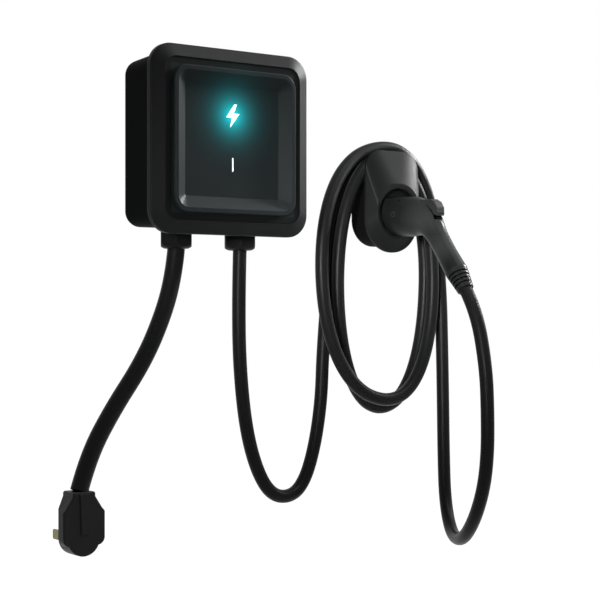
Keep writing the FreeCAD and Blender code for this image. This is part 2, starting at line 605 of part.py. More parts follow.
# Front panel: a shoulder, a raised rim and four sloping walls down to a flat floor
def make_front_panel():
    body = new_body("front_panel")
    outer = f"({CREST_HALF} - bezel_edge_round / 4 - panel_gap)"
    base = front_sketch(body, "panel_base", PANEL_BACK)
    rounded_square(base, outer, "crest_corner - bezel_edge_round / 4 - panel_gap")
    pad(body, base, f"{SHOULDER_DEPTH} - {PANEL_BACK}")
    rim = front_sketch(body, "panel_rim", SHOULDER_DEPTH)
    rounded_square(rim, RIM_HALF, "rim_corner")
    raised = pad(body, rim, "rim_rise")
    round_edges(body, raised, "rim_round", lambda edge: at_depth(edge, RIM_DEPTH))
    top = front_sketch(body, "dish_mouth", RIM_DEPTH)
    rounded_square(top, f"{RIM_HALF} - rim_face", "dish_corner")
    low = front_sketch(body, "dish_floor", FLOOR_DEPTH)
    rounded_square(low, FLOOR_HALF, "floor_corner")
    loft(body, "SubtractiveLoft", top, low)
    back = front_sketch(body, "panel_hollow", PANEL_BACK)
    rounded_square(back, f"{LEDGE_HALF} + ledge_thick", "panel_pocket_corner")
    pocket(body, back, f"{FLOOR_BACK} - {PANEL_BACK}", None, True)
    core = front_sketch(body, "rim_core", FLOOR_BACK)
    rounded_square(core, f"{RIM_HALF} - rim_core_wall", "rim_corner - rim_core_wall")
    rounded_square(core, f"{RIM_HALF} - rim_core_wall - rim_core_width",
                   "rim_corner - rim_core_wall - rim_core_width")
    pocket(body, core, f"{RIM_DEPTH} - {FLOOR_BACK} - rim_core_roof", None, True)
    reliefs = front_sketch(body, "head_reliefs", PANEL_BACK)
    for sx, sz in CORNERS:
        circle(reliefs, f"{sx} * {COLUMN}", f"{sz} * {COLUMN}", "relief_size / 2")
    pocket(body, reliefs, "relief_deep", None, True)
    windows = front_sketch(body, "lens_windows", FLOOR_BACK)
    lamp_outline(windows, "lens_clear")
    bar_outline(windows, "lens_clear")
    pocket(body, windows, "floor_wall", None, True)
    pegs = front_sketch(body, "led_pegs", FLOOR_BACK)
    for sx, sz in CORNERS:
        circle(pegs, f"{sx} * (led_board_wide / 2 - led_peg_inset)",
               f"{sz} * (led_board_tall / 2 - led_peg_inset)", "led_peg / 2")
    pad(body, pegs, "led_board_gap", None, True)
    return body


# Light guides: each shows through the floor and is held by a flange behind it
def make_lens(label, outline):
    body = new_body(label)
    face = front_sketch(body, label + "_face", FLOOR_BACK)
    outline(face)
    pad(body, face, "floor_wall + lens_proud")
    flange = front_sketch(body, label + "_flange", FLOOR_BACK)
    outline(flange, "lens_flange")
    pad(body, flange, "lens_flange_thick", None, True)
    return body


# Boards, lamps and power electronics
def board_screw(name, x, z, depth, size, long, head, head_thick):
    """A pan-head screw that points at the wall, its head resting at a depth."""
    shank = rod(name + "_shank", f"{size} / 2", long, x, f"-({depth})", z, (0, 1, 0))
    top = rod(name + "_head", f"{head} / 2", head_thick, x, f"-({depth})", z, (0, -1, 0))
    return fuse(name, shank, top)


def towards_front(edge, text):
    """True for an edge that lies wholly in front of a depth."""
    return edge.BoundBox.YMax < -value(text) - 0.01


def make_electronics():
    plate = box("board_plate", f"2 * ({POST_X} + board_rim)", "board_thick", f"2 * ({POST_Z} + board_rim)",
                "0", "post_end", "0")
    holes = [rod(f"board_hole_{k}", "small_screw_hole / 2", "board_thick + 2", f"{sx} * {POST_X}",
                 "-post_end + 1", f"{sz} * {POST_Z}", (0, -1, 0)) for k, (sx, sz) in enumerate(CORNERS)]
    keep("main_board", cut("main_board_cut", plate, *holes))
    keep("board_screws", group("board_screw_group", *[
        board_screw(f"board_screw_{k}", f"{sx} * {POST_X}", f"{sz} * {POST_Z}", BOARD_FRONT,
                    "small_screw", "small_screw_long", "small_head", "small_head_thick")
        for k, (sx, sz) in enumerate(CORNERS)]))
    keep("cover_screws", group("cover_screw_group", *[
        board_screw(f"cover_screw_{k}", f"{sx} * {COLUMN}", f"{sz} * {COLUMN}", PANEL_BACK,
                    "screw_size", "screw_long", "head_size", "head_thick")
        for k, (sx, sz) in enumerate(CORNERS)]))
    relay_up = f"{SUPPLY_UP} - supply_tall / 2 - relay_gap - relay_tall / 2"
    for k, side in enumerate((-1, 1), start=1):
        case = box(f"relay_case_{k}", "relay_wide", "relay_deep", "relay_tall",
                   f"{side} * relay_spread / 2 - relay_left", BOARD_FRONT, relay_up)
        keep(f"relay_{k}", soften(f"relay_round_{k}", case, "relay_round",
                                  lambda edge: towards_front(edge, BOARD_FRONT)))
    middle = f"-({BOARD_FRONT} + sensor_base + sensor_size / 2)"
    sensor_up = f"(sensor_lift - {POST_Z})"
    ring = rod("sensor_ring", "sensor_size / 2", "sensor_thick", "gland_spread / 2", middle,
               f"{sensor_up} - sensor_thick / 2")
    bore = rod("sensor_hole", "sensor_bore / 2", "sensor_thick + 2", "gland_spread / 2", middle,
               f"{sensor_up} - sensor_thick / 2 - 1")
    foot = box("sensor_foot", "sensor_size * 0.8", "sensor_base + sensor_size / 6", "sensor_thick",
               "gland_spread / 2", BOARD_FRONT, sensor_up)
    keep("current_sensor", cut("current_sensor_cut", fuse("sensor_body", ring, foot), bore))
    for label, side in (("input_terminals", -1), ("output_terminals", 1)):
        block = box(label + "_block", "terminal_wide", "terminal_deep", "terminal_tall",
                    f"{side} * gland_spread / 2", BOARD_FRONT, TERMINAL_UP)
        entries = []
        for k in (-1, 0, 1):
            x = f"{side} * gland_spread / 2 + {k} * wire_pitch"
            entries.append(rod(f"{label}_entry_{k + 1}", "wire_size / 2 + entry_clear", "entry_deep", x,
                               "-gland_depth", f"{TERMINAL_UP} - terminal_tall / 2"))
            entries.append(rod(f"{label}_screw_{k + 1}", "wire_size / 2", "entry_deep / 2", x,
                               f"-({BOARD_FRONT} + terminal_deep)", f"{TERMINAL_UP} + terminal_tall / 6",
                               (0, 1, 0)))
        keep(label, cut(label + "_cut", block, *entries))
    supply = box("supply_block", "supply_wide", "supply_deep", "supply_tall", f"supply_in - {POST_X}",
                 BOARD_FRONT, SUPPLY_UP)
    keep("supply_transformer", soften("supply_round", supply, "relay_round",
                                      lambda edge: towards_front(edge, BOARD_FRONT)))
    keep("supply_capacitors", group("capacitor_group", *[
        rod(f"capacitor_{k}", "can_size / 2", "can_long", f"{POST_X} - can_in + {k - 1} * can_pitch",
            f"-{BOARD_FRONT}", f"{POST_Z} - can_drop", (0, -1, 0)) for k in range(3)]))
    keep("control_board", box("control_plate", "control_wide", "control_deep", "control_tall",
                              f"{POST_X} - control_in", BOARD_FRONT, f"{POST_Z} - control_drop"))
    ground_up = f"(ground_lift - {POST_Z})"
    bar = box("ground_block", "ground_wide", "ground_deep", "ground_tall", "0", BOARD_FRONT, ground_up)
    bar_holes = [rod(f"ground_hole_{k}", "small_screw_hole / 2", "ground_deep / 2",
                     f"{k} * ground_wide / 4", f"-({BOARD_FRONT} + ground_deep)", ground_up, (0, 1, 0))
                 for k in (-1, 0, 1)]
    keep("ground_bar", cut("ground_bar_cut", bar, *bar_holes))

    led_back = f"({FLOOR_BACK} - led_board_gap - board_thick)"
    plate = box("led_plate", "led_board_wide", "board_thick", "led_board_tall", "0", led_back, "0")
    lamps = [("0", "lamp_up"), ("0", "lamp_up - lamp_tall / 4"), ("0", "lamp_up + lamp_tall / 4"),
             ("0", "-bar_down")]
    lights = [box(f"led_{k}", "led_size", "led_thick", "led_size", x, f"{led_back} + board_thick", z)
              for k, (x, z) in enumerate(lamps)]
    keep("led_board", fuse("led_board_fuse", plate, *lights))


# Cords and wires: straight runs joined by tangent arcs
def tube(name, points, diameter):
    """Sweeps a round section along a route and prints its radii, length and volume."""
    route = [FreeCAD.Vector(*point) for point in points]
    runs = [(route[k + 1] - route[k]).Length for k in range(len(route) - 1)]
    edges = []
    radii = []
    here = route[0]
    for k in range(1, len(route) - 1):
        before = (route[k] - route[k - 1]).normalize()
        after = (route[k + 1] - route[k]).normalize()
        turn = before.getAngle(after)
        reach = 0.45 * min(runs[k - 1], runs[k])
        radius = reach / math.tan(turn / 2)
        radii.append(radius)
        start = route[k] - before * reach
        end = route[k] + after * reach
        inward = (after - before).normalize()
        centre = route[k] + inward * math.hypot(radius, reach)
        middle = centre - inward * radius
        edges.append(Part.LineSegment(here, start).toShape())
        edges.append(Part.Arc(start, middle, end).toShape())
        here = end
    edges.append(Part.LineSegment(here, route[-1]).toShape())
    spine = Part.Wire(edges)
    section = Part.Wire([Part.Circle(route[0], route[1] - route[0], diameter / 2).toShape()])
    solid = spine.makePipeShell([section], True, False)
    expected = spine.Length * math.pi * diameter ** 2 / 4
    print(f"{name}: length {spine.Length:.1f}, radii {[round(r) for r in radii]}, "
          f"volume {solid.Volume:.0f} against {expected:.0f}")
    return solid


GLAND_MOUTH = f"({GLAND_SEAT} + flange_thick + nut_gap + nut_tall)"


def make_wires():
    """Bare ends of both cords inside the box: a sheathed tail and its cores."""
    mouth = -value(GLAND_MOUTH)
    top = value("tail_up") - value(GLAND_SEAT)
    foot = top - value("core_sink")
    end = value(f"{TERMINAL_UP} - terminal_tall / 2 + entry_deep")
    for label, side, size, bundle in (("power_cord_tail", -1, "power_size", "wire_bundle"),
                                      ("charge_cord_tail", 1, "charge_size", "thin_wire_bundle")):
        x = side * value("gland_spread") / 2
        y = -value("gland_depth")
        sheath = Part.makeCylinder(value(size) / 2, top - mouth, FreeCAD.Vector(x, y, mouth))
        pieces = [sheath]
        for k in (-1, 0, 1):
            near = x + k * value(bundle)
            far = x + k * value("wire_pitch")
            if k:
                low, high = top + value("core_straight"), end - value("entry_deep + core_straight")
                step = (high - low) / 3
                points = [(near, y, foot), (near, y, low + step), (far, y, high - step), (far, y, end)]
                pieces.append(tube(f"{label} core {k}", points, value("wire_size")))
            else:
                pieces.append(Part.makeCylinder(value("wire_size") / 2, end - foot,
                                                FreeCAD.Vector(x, y, foot)))
        solid = pieces[0].fuse(pieces[1:])
        keep(label, shape_part(label + "_shape", solid))


# Cable glands: body, seal, domed nut and locknut
def make_gland(name, side, cord):
    x = f"{side} * gland_spread / 2"
    y = "-gland_depth"
    seat = f"-{GLAND_SEAT}"
    flange = prism(name + "_flange", "gland_flats", "flange_thick", x, y, f"{seat} - flange_thick")
    low = f"{seat} - flange_thick"
    thread = rod(name + "_thread", "thread_size / 2", "thread_end + flange_thick", x, y, low)
    spigot = rod(name + "_spigot", "spigot_size / 2", "spigot_long + 1", x, y, f"{low} - spigot_long")
    bore = rod(name + "_bore", f"({cord} + nut_mouth_clear) / 2",
               "thread_end + flange_thick + spigot_long + 4", x, y, f"{low} - spigot_long - 2")
    keep(name + "_body", cut(name + "_body_cut", fuse(name + "_body_fuse", flange, thread, spigot), bore))

    top = f"({low} - nut_gap)"
    hexagon = prism(name + "_nut_hex", "gland_flats", "nut_tall", x, y, f"{top} - nut_tall")
    barrel = rod(name + "_nut_barrel", "gland_flats / sqrt(3) - nut_turned", "nut_tall", x, y,
                 f"{top} - nut_tall")
    mouth = -value(GLAND_MOUTH)
    dome = soften(name + "_nut_dome", barrel, "nut_round",
                  lambda edge: abs(edge.BoundBox.ZMax - mouth) < 0.01)
    room = rod(name + "_nut_room", "nut_bore / 2", "nut_tall - nut_floor + 1", x, y,
               f"{top} - nut_tall + nut_floor")
    hole = rod(name + "_nut_mouth", f"{cord} / 2 + nut_mouth_clear", "nut_floor + 2", x, y,
               f"{top} - nut_tall - 1")
    keep(name + "_nut", cut(name + "_nut_cut", common(name + "_nut_solid", hexagon, dome), room, hole))

    ring = rod(name + "_seal_ring", "nut_bore / 2 - nut_gap", "nut_tall - nut_floor - spigot_long", x, y,
               f"{top} - nut_tall + nut_floor")
    lip = rod(name + "_seal_lip", f"{cord} / 2 + nut_mouth_clear - nut_gap", "nut_floor + 1", x, y,
              f"{top} - nut_tall")
    through = rod(name + "_seal_hole", f"{cord} / 2", "nut_tall + 2", x, y, f"{top} - nut_tall - 1")
    keep(name + "_seal", cut(name + "_seal_cut", fuse(name + "_seal_fuse", ring, lip), through))

    inner = "(-rear_width / 2 + shell_wall)"
    lock = prism(name + "_lock_hex", "locknut_flats", "locknut_thick", x, y, inner)
    lock_bore = rod(name + "_lock_bore", "thread_size / 2", "locknut_thick + 2", x, y, f"{inner} - 1")
    keep(name + "_locknut", cut(name + "_locknut_cut", lock, lock_bore))


# Plug: a right-angle mains plug with four blades that point at the wall
PLUG_ORIGIN = ("plug_x", "0", "-plug_top")


def plug_outline(sketch, shrink="0"):
    """Narrow neck at the top, sloping shoulders and a round foot, from the neck's top downwards."""
    neck, half = f"(plug_neck / 2 - {shrink})", f"(plug_half - {shrink})"
    centre = "-(plug_tall - plug_half)"
    corners = [(f"-{half}", centre), (f"-{half}", "-plug_shoulder"), (f"-{neck}", "-plug_collar"),
               (f"-{neck}", "0"), (neck, "0"), (neck, "-plug_collar"), (half, "-plug_shoulder"),
               (half, centre)]
    points = [FreeCAD.Vector(value(x), value(z), 0) for x, z in corners]
    first = sketch.GeometryCount
    sides = len(points) - 1
    for k in range(sides):
        sketch.addGeometry(Part.LineSegment(points[k], points[k + 1]), False)
    full = Part.Circle(FreeCAD.Vector(0, value(centre), 0), FreeCAD.Vector(0, 0, 1), value(half))
    foot = sketch.addGeometry(Part.ArcOfCircle(full, math.pi, 2 * math.pi), False)
    for k in range(sides - 1):
        sketch.addConstraint(Sketcher.Constraint("Coincident", first + k, 2, first + k + 1, 1))
    sketch.addConstraint(Sketcher.Constraint("Tangent", first + sides - 1, 2, foot, 2))
    sketch.addConstraint(Sketcher.Constraint("Tangent", foot, 1, first, 1))
    sketch.addConstraint(Sketcher.Constraint("Vertical", first))
    sketch.addConstraint(Sketcher.Constraint("Vertical", first + sides - 1))
    measure(sketch, "Radius", half, foot)
    pin_point(sketch, foot, 3, "0", centre)
    for k in (2, 3, 4, 5):
        pin_point(sketch, first + k, 1, *corners[k])
    pin_point(sketch, first + 1, 1, None, "-plug_shoulder")
    pin_point(sketch, first + 6, 1, None, "-plug_shoulder")


def neck_corner(edge):
    """True for an edge at the top of the neck that points away from the wall."""
    box = edge.BoundBox
    return box.XLength < 0.01 and box.ZLength < 0.01 and abs(box.ZMax) < 0.01


def blade_slots(sketch):
    """The plug's four openings: two upright hot blades, a round earth pin and a flat neutral blade."""
    for side in (-1, 1):
        blade_slot(sketch, f"{side} * hot_spread / 2", "-hot_down", "blade_thick", "hot_wide")
    circle(sketch, "0", "-ground_down", "ground_size / 2")
    blade_slot(sketch, "0", "-neutral_down", "neutral_leg", "blade_thick")


def make_plug():
    front = "(plug_back + plug_thick)"
    cap = new_body("plug_face", *PLUG_ORIGIN)
    sketch = front_sketch(cap, "plug_face_outline", "plug_back")
    plug_outline(sketch, "cap_gap")
    round_edges(cap, pad(cap, sketch, "cap_thick - cap_gap"), "plug_corner", neck_corner)
    slots = front_sketch(cap, "plug_face_slots", "plug_back")
    blade_slots(slots)
    pocket(cap, slots, "cap_thick", None, True)

    body = new_body("plug_body", *PLUG_ORIGIN)
    sketch = front_sketch(body, "plug_body_outline", "plug_back + cap_thick")
    plug_outline(sketch)
    round_edges(body, pad(body, sketch, "plug_thick - cap_thick"), "plug_corner", neck_corner)
    flange = front_sketch(body, "plug_flange", "plug_back + flange_back")
    polygon(flange, [("-plug_neck / 2", "-plug_collar"), ("plug_neck / 2", "-plug_collar"),
                     ("flange_bend_half", "-flange_bend"), ("flange_half", "-flange_shoulder"),
                     ("flange_half", "flange_corner - flange_foot"),
                     ("-flange_half", "flange_corner - flange_foot"),
                     ("-flange_half", "-flange_shoulder"), ("-flange_bend_half", "-flange_bend")])
    pad(body, flange, "plug_thick - flange_back")
    base = front_sketch(body, "plug_flange_foot", "plug_back + flange_back")
    rounded(base, "-flange_half", "flange_half", "-flange_foot", "3 * flange_corner - flange_foot",
            "flange_corner")
    block = pad(body, base, "plug_thick - flange_back")
    round_edges(body, block, "plug_round", lambda edge: at_depth(edge, front))
    ridge = front_sketch(body, "plug_ridge", front)
    polygon(ridge, [("-ridge_top / 2", "-plug_round"), ("-ridge_foot / 2", "-ridge_long"),
                    ("ridge_foot / 2", "-ridge_long"), ("ridge_top / 2", "-plug_round")])
    pad(body, ridge, "ridge_high", "ridge_slope")
    roots = front_sketch(body, "blade_roots", "plug_back + cap_thick")
    blade_slots(roots)
    pocket(body, roots, "blade_root", None, True)

    tip = "(plug_back - blade_long)"
    reach = "(blade_long + cap_thick + blade_root)"
    blades = [box(f"hot_blade_{k}", "blade_thick", reach, "hot_wide", f"plug_x + {side} * hot_spread / 2",
                  tip, "-plug_top - hot_down") for k, side in enumerate((-1, 1))]
    keep("plug_hot_blades", group("hot_blade_group", *[
        soften(f"hot_blade_round_{k}", blade, "blade_corner",
               lambda edge: at_depth(edge, tip) and edge.BoundBox.ZLength < 0.01)
        for k, blade in enumerate(blades)]))
    neutral = box("neutral_blade", "neutral_leg", reach, "blade_thick", "plug_x", tip,
                  "-plug_top - neutral_down")
    keep("plug_neutral_blade", soften("neutral_blade_round", neutral, "blade_corner",
                                      lambda edge: at_depth(edge, tip) and edge.BoundBox.XLength < 0.01))
    pin = rod("ground_pin", "ground_size / 2", "ground_long + cap_thick + blade_root", "plug_x",
              "-(plug_back + cap_thick + blade_root)", "-plug_top - ground_down", (0, 1, 0))
    keep("plug_ground_pin", soften("ground_pin_round", pin, "ground_size / 3",
                                   lambda edge: at_depth(edge, "plug_back - ground_long")))


def blade_slot(sketch, x, z, wide, tall):
    polygon(sketch, [(f"{x} - {wide} / 2", f"{z} - {tall} / 2"), (f"{x} + {wide} / 2", f"{z} - {tall} / 2"),
                     (f"{x} + {wide} / 2", f"{z} + {tall} / 2"), (f"{x} - {wide} / 2", f"{z} + {tall} / 2")])


# Cords outside the box: routes in millimetres, each a list of the corners that its arcs round
POWER_ROUTE = [(-49.5, -40, -136.5), (-53, -40.5, -166), (-68, -43, -216), (-100, -46, -280),
               (-150, -49, -345), (-184, -52, -400), (-198, -55, -441)]
SUPPLY_ROUTE = [(49.5, -40, -136.5), (48, -39, -210), (52, -36.5, -300), (66, -32, -385), (89, -28.4, -444),
                (115, -26, -472.5), (149, -23, -474), (173, -20.5, -451), (191.5, -18, -400),
                (203, -16, -338), (206, -14.6, -280)]
DROP_ROUTE = [(415, -27, -190), (413, -32, -260), (408, -40, -340), (401, -50, -420), (390, -66, -492),
              (366, -104, -536), (334, -152, -540), (314, -190, -512), (311, -225, -465), (311, -241, -415),
              (311, -244, -355), (311, -240, -295)]
LEAD_IN = 38
TRIM = 4
ROOM = 600


def beyond(route, distance):
    """The route with its first point moved back along its first run."""
    first, second = FreeCAD.Vector(*route[0]), FreeCAD.Vector(*route[1])
    return [tuple(first + (first - second).normalize() * distance)] + route[1:]


def below(solid, height):
    """What lies under a level."""
    corner = FreeCAD.Vector(-ROOM, -ROOM, height - 2 * ROOM)
    return solid.common(Part.makeBox(2 * ROOM, 2 * ROOM, 2 * ROOM, corner))


def above(solid, height):
    """What lies over a level."""
    corner = FreeCAD.Vector(-ROOM, -ROOM, height)
    return solid.common(Part.makeBox(2 * ROOM, 2 * ROOM, 2 * ROOM, corner))


def cord_exit():
    """Where the cable leaves the boot, and the direction that it leaves in."""
    tilt = math.radians(value("grip_tilt"))
    along = FreeCAD.Vector(0, -math.cos(tilt), -math.sin(tilt))
    start = FreeCAD.Vector(value("holster_x"), -value("grip_out"), value("grip_up - holster_down"))
    return start + along * value("boot_long"), along


def make_cords():
    mouth = -value(GLAND_MOUTH)
    charge, power = value("charge_size"), value("power_size")
    lead = beyond(POWER_ROUTE, TRIM)
    lead = beyond(lead[::-1], TRIM)[::-1]
    lead = above(below(tube("power_cord", lead, power), mouth), -value("plug_top"))
    keep("power_cord", shape_part("power_cord_shape", lead))
    supply = below(tube("charge_cord_supply", beyond(SUPPLY_ROUTE, TRIM), charge), mouth)
    keep("charge_cord_supply", shape_part("charge_cord_supply_shape", supply))
    end, along = cord_exit()
    drop = tube("charge_cord_drop", DROP_ROUTE + [tuple(end + along * LEAD_IN), tuple(end)], charge)
    keep("charge_cord_drop", shape_part("charge_cord_drop_shape", drop))
    inside = value("boot_long + tail_inside")
    tail = Part.makeCylinder(charge / 2, inside, end - along * inside, along)
    keep("connector_cord_tail", shape_part("connector_cord_tail_shape", tail))


def make_coil():
    """The outer shape of the coil that hangs round the holster's neck."""
    rings = []
    for name, reach in (("coil_outer", "outer"), ("coil_inner", "inner")):
        oval = document.addObject("Part::Ellipse", name)
        bind(oval, "MajorRadius", f"coil_{reach}_tall")
        bind(oval, "MinorRadius", f"coil_{reach}_wide")
        place(oval, f"coil_{reach}_x", "-coil_back", f"coil_{reach}_z")
        oval.Placement.Rotation = FreeCAD.Rotation(FreeCAD.Vector(0, 0, 1), FreeCAD.Vector(1, 0, 0),
                                                   FreeCAD.Vector(0, 1, 0), "XYZ")
        bar = document.addObject("Part::Extrusion", name + "_bar")
        bar.Base = oval
        bar.DirMode = "Custom"
        bar.Dir = FreeCAD.Vector(0, -1, 0)
        bar.Solid = True
        bind(bar, "LengthFwd", "coil_front - coil_back")
        rings.append(bar)
    neck = rod("coil_neck_room", "neck_half + coil_clear", "coil_front", "holster_x", "0",
               "neck_top - neck_half - holster_down", (0, -1, 0))
    room = side_bar("coil_front_room", [("coil_thin", "2 * holster_down"), ("coil_thin", "coil_slope_top"),
                                        ("coil_front + 1", "coil_slope_foot"),
                                        ("coil_front + 1", "2 * holster_down")], "coil_outer_tall")
    keep("charge_cord_coil", cut("coil_cut", rings[0], rings[1], neck, room))


# Holster: a tray on the wall, a shield in front of it and a round socket for the connector
HOLSTER_ORIGIN = ("holster_x", "0", "-holster_down")
CUP_FRONT = "(neck_depth + shield_edge + shield_rise)"
BARREL_BORE = "(nose_tube + 2 * nose_play)"
BARREL = f"({BARREL_BORE} + 2 * barrel_wall)"
BARREL_TOP = f"({BARREL} / 2 - barrel_down)"
EAR_HALF = f"({BARREL} / 2 + barrel_ear)"
SLOT_TOP = f"({BARREL_TOP} + slot_rise)"
PILLARS = [("pillar_half", "pillar_up", "pillar_deep"), ("-pillar_half", "pillar_up", "pillar_deep"),
           ("foot_pillar", "-foot_pillar_down", "foot_pillar_deep"),
           ("-foot_pillar", "-foot_pillar_down", "foot_pillar_deep")]


def neck_outline(sketch, shrink="0"):
    arch_outline(sketch, f"neck_half - {shrink}", f"-neck_foot + {shrink}", f"neck_corner - {shrink}",
                 "neck_top - neck_half", -1)


def edge_outline(sketch, shrink="0"):
    arch_outline(sketch, f"shield_half - {shrink}", f"shield_top - {shrink}", f"shield_corner - {shrink}",
                 "-barrel_down")


def nose_outline(sketch, shrink="0"):
    arch_outline(sketch, f"nose_half - {shrink}", f"nose_top - {shrink}", f"nose_corner - {shrink}")


def make_holster_base():
    body = new_body("holster_base", *HOLSTER_ORIGIN)
    sketch = front_sketch(body, "neck_outline")
    neck_outline(sketch)
    pad(body, sketch, "neck_depth")
    flange = front_sketch(body, "neck_flange", "neck_depth")
    edge_outline(flange, "(shield_wall + fit_gap)")
    pad(body, flange, "neck_flange")
    rooms = front_sketch(body, "pillar_rooms", "neck_depth + neck_flange")
    for x, z, _ in PILLARS:
        circle(rooms, x, z, "pillar_size / 2 + fit_gap")
    pocket(body, rooms, "neck_flange")
    hollow = front_sketch(body, "neck_hollow", "neck_depth + neck_flange")
    neck_outline(hollow, "neck_wall")
    pocket(body, hollow, "neck_depth + neck_flange - neck_back")
    posts = front_sketch(body, "neck_posts", "neck_back / 2")
    for x, z, _ in PILLARS:
        circle(posts, x, z, "pillar_size / 2")
    pad(body, posts, "neck_depth - neck_back / 2")
    bores = front_sketch(body, "neck_counterbores")
    holes = front_sketch(body, "neck_screw_holes")
    for x, z, _ in PILLARS:
        circle(bores, x, z, "counterbore / 2")
        circle(holes, x, z, "small_screw_hole / 2")
    pocket(body, bores, "neck_depth - 2 * neck_back", None, True)
    pocket(body, holes, "neck_depth + neck_flange", None, True)
    wall = front_sketch(body, "neck_wall_holes")
    for side in (-1, 1):
        circle(wall, f"{side} * wall_hole_half", "-barrel_down", "wall_hole / 2")
        circle(wall, f"{side} * {EAR_HALF}", "-barrel_down", "small_screw_hole / 2")
    circle(wall, "0", "keyhole_up", "keyhole_size / 2")
    pocket(body, wall, "neck_back", None, True)
    slot = front_sketch(body, "neck_keyhole_slot")
    polygon(slot, [("-keyhole_slot / 2", "keyhole_up"), ("keyhole_slot / 2", "keyhole_up"),
                   ("keyhole_slot / 2", "keyhole_up + keyhole_rise"),
                   ("-keyhole_slot / 2", "keyhole_up + keyhole_rise")])
    pocket(body, slot, "neck_back", None, True)
    heads = front_sketch(body, "ear_screw_heads")
    for side in (-1, 1):
        circle(heads, f"{side} * {EAR_HALF}", "-barrel_down", "counterbore / 2")
    pocket(body, heads, "small_head_thick", None, True)
    return body


def make_holster_shield():
    body = new_body("holster_shield", *HOLSTER_ORIGIN)
    edge = front_sketch(body, "shield_edge", "neck_depth")
    edge_outline(edge)
    pad(body, edge, "shield_edge")
    low = front_sketch(body, "shield_low", "neck_depth + shield_edge")
    edge_outline(low)
    high = front_sketch(body, "shield_high", CUP_FRONT)
    nose_outline(high)
    face = loft(body, "AdditiveLoft", low, high)
    hollow = front_sketch(body, "shield_hollow", "neck_depth")
    edge_outline(hollow, "shield_wall")
    pocket(body, hollow, "shield_edge", None, True)
    low = front_sketch(body, "shield_low_inside", "neck_depth + shield_edge")
    edge_outline(low, "shield_wall")
    high = front_sketch(body, "shield_high_inside", f"{CUP_FRONT} - shield_wall")
    nose_outline(high, "shield_wall")
    loft(body, "SubtractiveLoft", low, high)
    mouth = front_sketch(body, "shield_mouth", CUP_FRONT)
    circle(mouth, "0", "0", "socket_mouth / 2")
    pocket(body, mouth, "shield_rise")
    for k, (x, z, deep) in enumerate(PILLARS):
        pillar = front_sketch(body, f"shield_pillar_{k}", "neck_depth + fit_gap / 2")
        circle(pillar, x, z, "pillar_size / 2")
        circle(pillar, x, z, "small_screw_hole / 2")
        pad(body, pillar, deep)
    return body


def make_holster_socket():
    cup_back = f"({CUP_FRONT} - cup_deep - cup_floor)"
    middle = "-holster_down"
    axis = "(-holster_down - barrel_down)"
    cup = rod("cup_outside", "cup_size / 2", "cup_deep + cup_floor - fit_gap", "holster_x", f"-{cup_back}",
              middle, (0, -1, 0))
    inside = rod("cup_inside", "cup_size / 2 - cup_wall", "cup_deep + 1", "holster_x",
                 f"-{CUP_FRONT} + cup_deep", middle, (0, -1, 0))
    barrel = rod("barrel_outside", f"{BARREL} / 2", f"{cup_back} - neck_back + 1", "holster_x",
                 "-neck_back", axis, (0, -1, 0))
    bore = rod("barrel_inside", f"{BARREL_BORE} / 2", CUP_FRONT, "holster_x", "-neck_back + 1", axis,
               (0, -1, 0))
    ridge = box("catch_ridge", "ridge_wide", "ridge_deep", "2 * ridge_rise", "holster_x", "ridge_near",
                f"-holster_down + {BARREL_TOP}")
    ears = [rod(f"barrel_ear_{k}", "barrel_ear_size / 2", "ear_long", f"holster_x + {side} * {EAR_HALF}",
                "-neck_back", axis, (0, -1, 0)) for k, side in enumerate((-1, 1))]
    ear_holes = [rod(f"barrel_ear_hole_{k}", "small_screw_hole / 2", "ear_long - 2",
                     f"holster_x + {side} * {EAR_HALF}", "-neck_back + 1", axis, (0, -1, 0))
                 for k, side in enumerate((-1, 1))]
    slot = box("latch_slot", "latch_slot", "cup_floor + 2", f"{SLOT_TOP} - {BARREL_TOP} + 4", "holster_x",
               f"{cup_back} - 1", f"-holster_down + ({SLOT_TOP} + {BARREL_TOP}) / 2 - 2")
    barrel_keep = rod("barrel_keep", f"{BARREL} / 2", "cup_floor", "holster_x", f"-{cup_back}", axis,
                      (0, -1, 0))
    slot = cut("latch_slot_cut", slot, barrel_keep)
    solid = fuse("socket_fuse", cup, barrel, ridge, *ears)
    keep("holster_socket", cut("socket_cut", solid, inside, bore, slot, *ear_holes))
    screws = []
    for k, (x, z, deep) in enumerate(PILLARS):
        screws.append(rear_screw(f"shield_screw_{k}", f"holster_x + ({x})", f"-holster_down + ({z})",
                                 "neck_depth - 2 * neck_back", f"2 * neck_back + {deep} - 1"))
    for k, side in enumerate((-1, 1)):
        screws.append(rear_screw(f"ear_screw_{k}", f"holster_x + {side} * {EAR_HALF}", axis,
                                 "small_head_thick", "small_screw_long"))
    keep("holster_screws", group("holster_screw_group", *screws))


def rear_screw(name, x, z, depth, long):
    """A pan-head screw that points away from the wall, its head resting at a depth."""
    shank = rod(name + "_shank", "small_screw / 2", long, x, f"-({depth})", z, (0, -1, 0))
    head = rod(name + "_head", "small_head / 2", "small_head_thick", x, f"-({depth})", z, (0, 1, 0))
    return fuse(name, shank, head)


# Connector: nose, contacts, two moulded shells, latch and boot
NOSE_Z = "(-holster_down - barrel_down)"


def along_nose(name, radius, length, depth, x="0", up="0"):
    """A round bar on the nose's axis, or beside it, from a depth outwards."""
    return rod(name, radius, length, f"holster_x + {x}", f"-({depth})", f"{NOSE_Z} + {up}", (0, -1, 0))


CONTACTS = [("-power_spread / 2", "power_up", "power"), ("power_spread / 2", "power_up", "power"),
            ("-signal_spread / 2", "-signal_down", "signal"), ("signal_spread / 2", "-signal_down", "signal"),
            ("0", "-earth_down", "power")]


